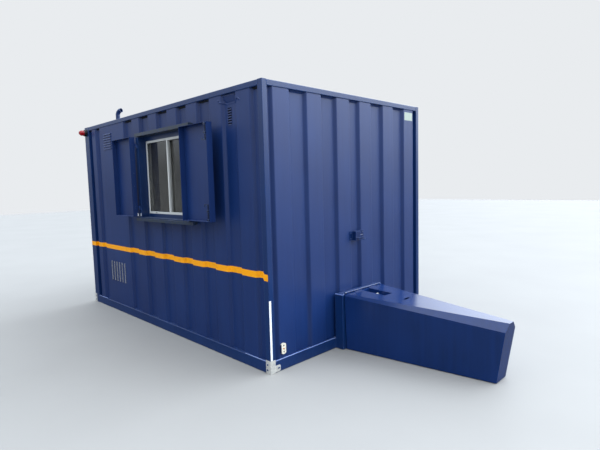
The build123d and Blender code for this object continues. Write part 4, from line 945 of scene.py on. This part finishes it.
barrel = [
    turned((plate_x, plate_y, 0.985), (0, 1, 0), plug, 24),
    slab((plate_x - 0.001, plate_y + 0.004, 0.979), (plate_x + 0.001, plate_y + 0.0054, 0.991)),
]
barrel += [dome((plate_x, plate_y, z), (0, 1, 0), 0.0045, 0.003) for z in (1.135, 0.960)]
piece("lock_barrel", barrel, zinc)
print("door leaf", [round(v, 3) for v in leaf_high - leaf_low])

# %% [markdown]
# ## Floor, backdrop and light
# A plain pale floor and a pale surround show the cabin as it stands in the open on a dull day. Light
# comes from the whole sky, a little stronger from above the drawbar end, where one large soft lamp
# stands. Glossy paint shows what stands round it, so the surround has a darker skirting above the
# horizon, a bright ceiling and a bright panel behind the cabin. The camera itself sees an even tone.

# %% Floor
floor_mesh = bpy.data.meshes.new("floor")
floor_mesh.from_pydata([(-30, -30, 0), (30, -30, 0), (30, 30, 0), (-30, 30, 0)], [], [(0, 1, 2, 3)])
floor_mesh.update()
floor = bpy.data.objects.new("floor", floor_mesh)
scene.collection.objects.link(floor)
floor.location.z = -0.001
concrete, tree, shader, place = material("pale concrete", "#9B9A97", 0.7)
sweep = node(tree, "TexNoise", {"Vector": place, "Scale": 0.8, "Detail": 6.0})
colour = node(tree, "Mix", {"Factor": sweep, 6: "#A09F9C", 7: "#969592"}, **rgba)
# Only in the paint's reflections is the floor drawn darker: a painted reflection, chosen by the kind of ray
mirrored = node(tree, "LightPath").outputs["Is Glossy Ray"]
dark_in_reflections = node(tree, "Mix", {"Factor": mirrored, 6: colour, 7: "#2E2C2B"}, **rgba)
feed(shader, {"Base Color": dark_in_reflections})
floor_mesh.materials.append(concrete)

# %% World and lamp
world = bpy.data.worlds.new("dull sky")
scene.world = world
world.use_nodes = True
tree = world.node_tree
look = node(tree, "TexCoord").outputs["Generated"]
# A dark skirting runs round the horizon, and the ceiling over it is bright
height = node(tree, "SeparateXYZ", {0: look}).outputs["Z"]
skirting = node(
    tree,
    "MapRange",
    {"Value": height, "From Min": 0.02, "From Max": 0.15, "To Min": 0.35, "To Max": 1.1},
    **soft,
)
ceiling = node(tree, "MapRange", {"Value": height, "From Min": 0.25, "From Max": 0.9, "To Max": 1.9})
# A wide bright panel behind the cabin gleams on the end wall's top and along the cover
behind = node(tree, "VectorMath", {0: look, 1: (0.36, 0.88, 0.31)}, operation="DOT_PRODUCT")
panel = node(tree, "MapRange", {"Value": behind.outputs["Value"], "From Min": 0.5, "From Max": 0.9}, **soft)
over = node(tree, "MapRange", {"Value": height, "From Min": -0.05, "From Max": 0.28}, **soft)
glow = node(tree, "Math", {0: panel, 1: over}, operation="MULTIPLY")
base = node(tree, "Math", {0: skirting, 1: ceiling}, operation="ADD")
gain = node(tree, "Math", {0: glow, 1: 4.6, 2: base}, operation="MULTIPLY_ADD")
lit = node(tree, "VectorMath", {0: linear("#D6DEE8")[:3], "Scale": gain}, operation="SCALE")
seen = node(tree, "LightPath").outputs["Is Camera Ray"]
colour = node(tree, "Mix", {"Factor": seen, 6: lit, 7: "#E9ECEF"}, **rgba)
feed(tree.nodes["Background"], {"Color": colour, "Strength": 1.0})
key_data = bpy.data.lights.new("key", "AREA")
key_data.shape = "RECTANGLE"
key_data.size = 6
key_data.size_y = 6
key_data.energy = 150
key = bpy.data.objects.new("key", key_data)
scene.collection.objects.link(key)
key.location = (7.5, -2.0, 6.5)
key.rotation_euler = (Vector((0, 0, 1.0)) - key.location).to_track_quat("-Z", "Y").to_euler()
print("light: sky and one lamp of", key_data.energy, "W")
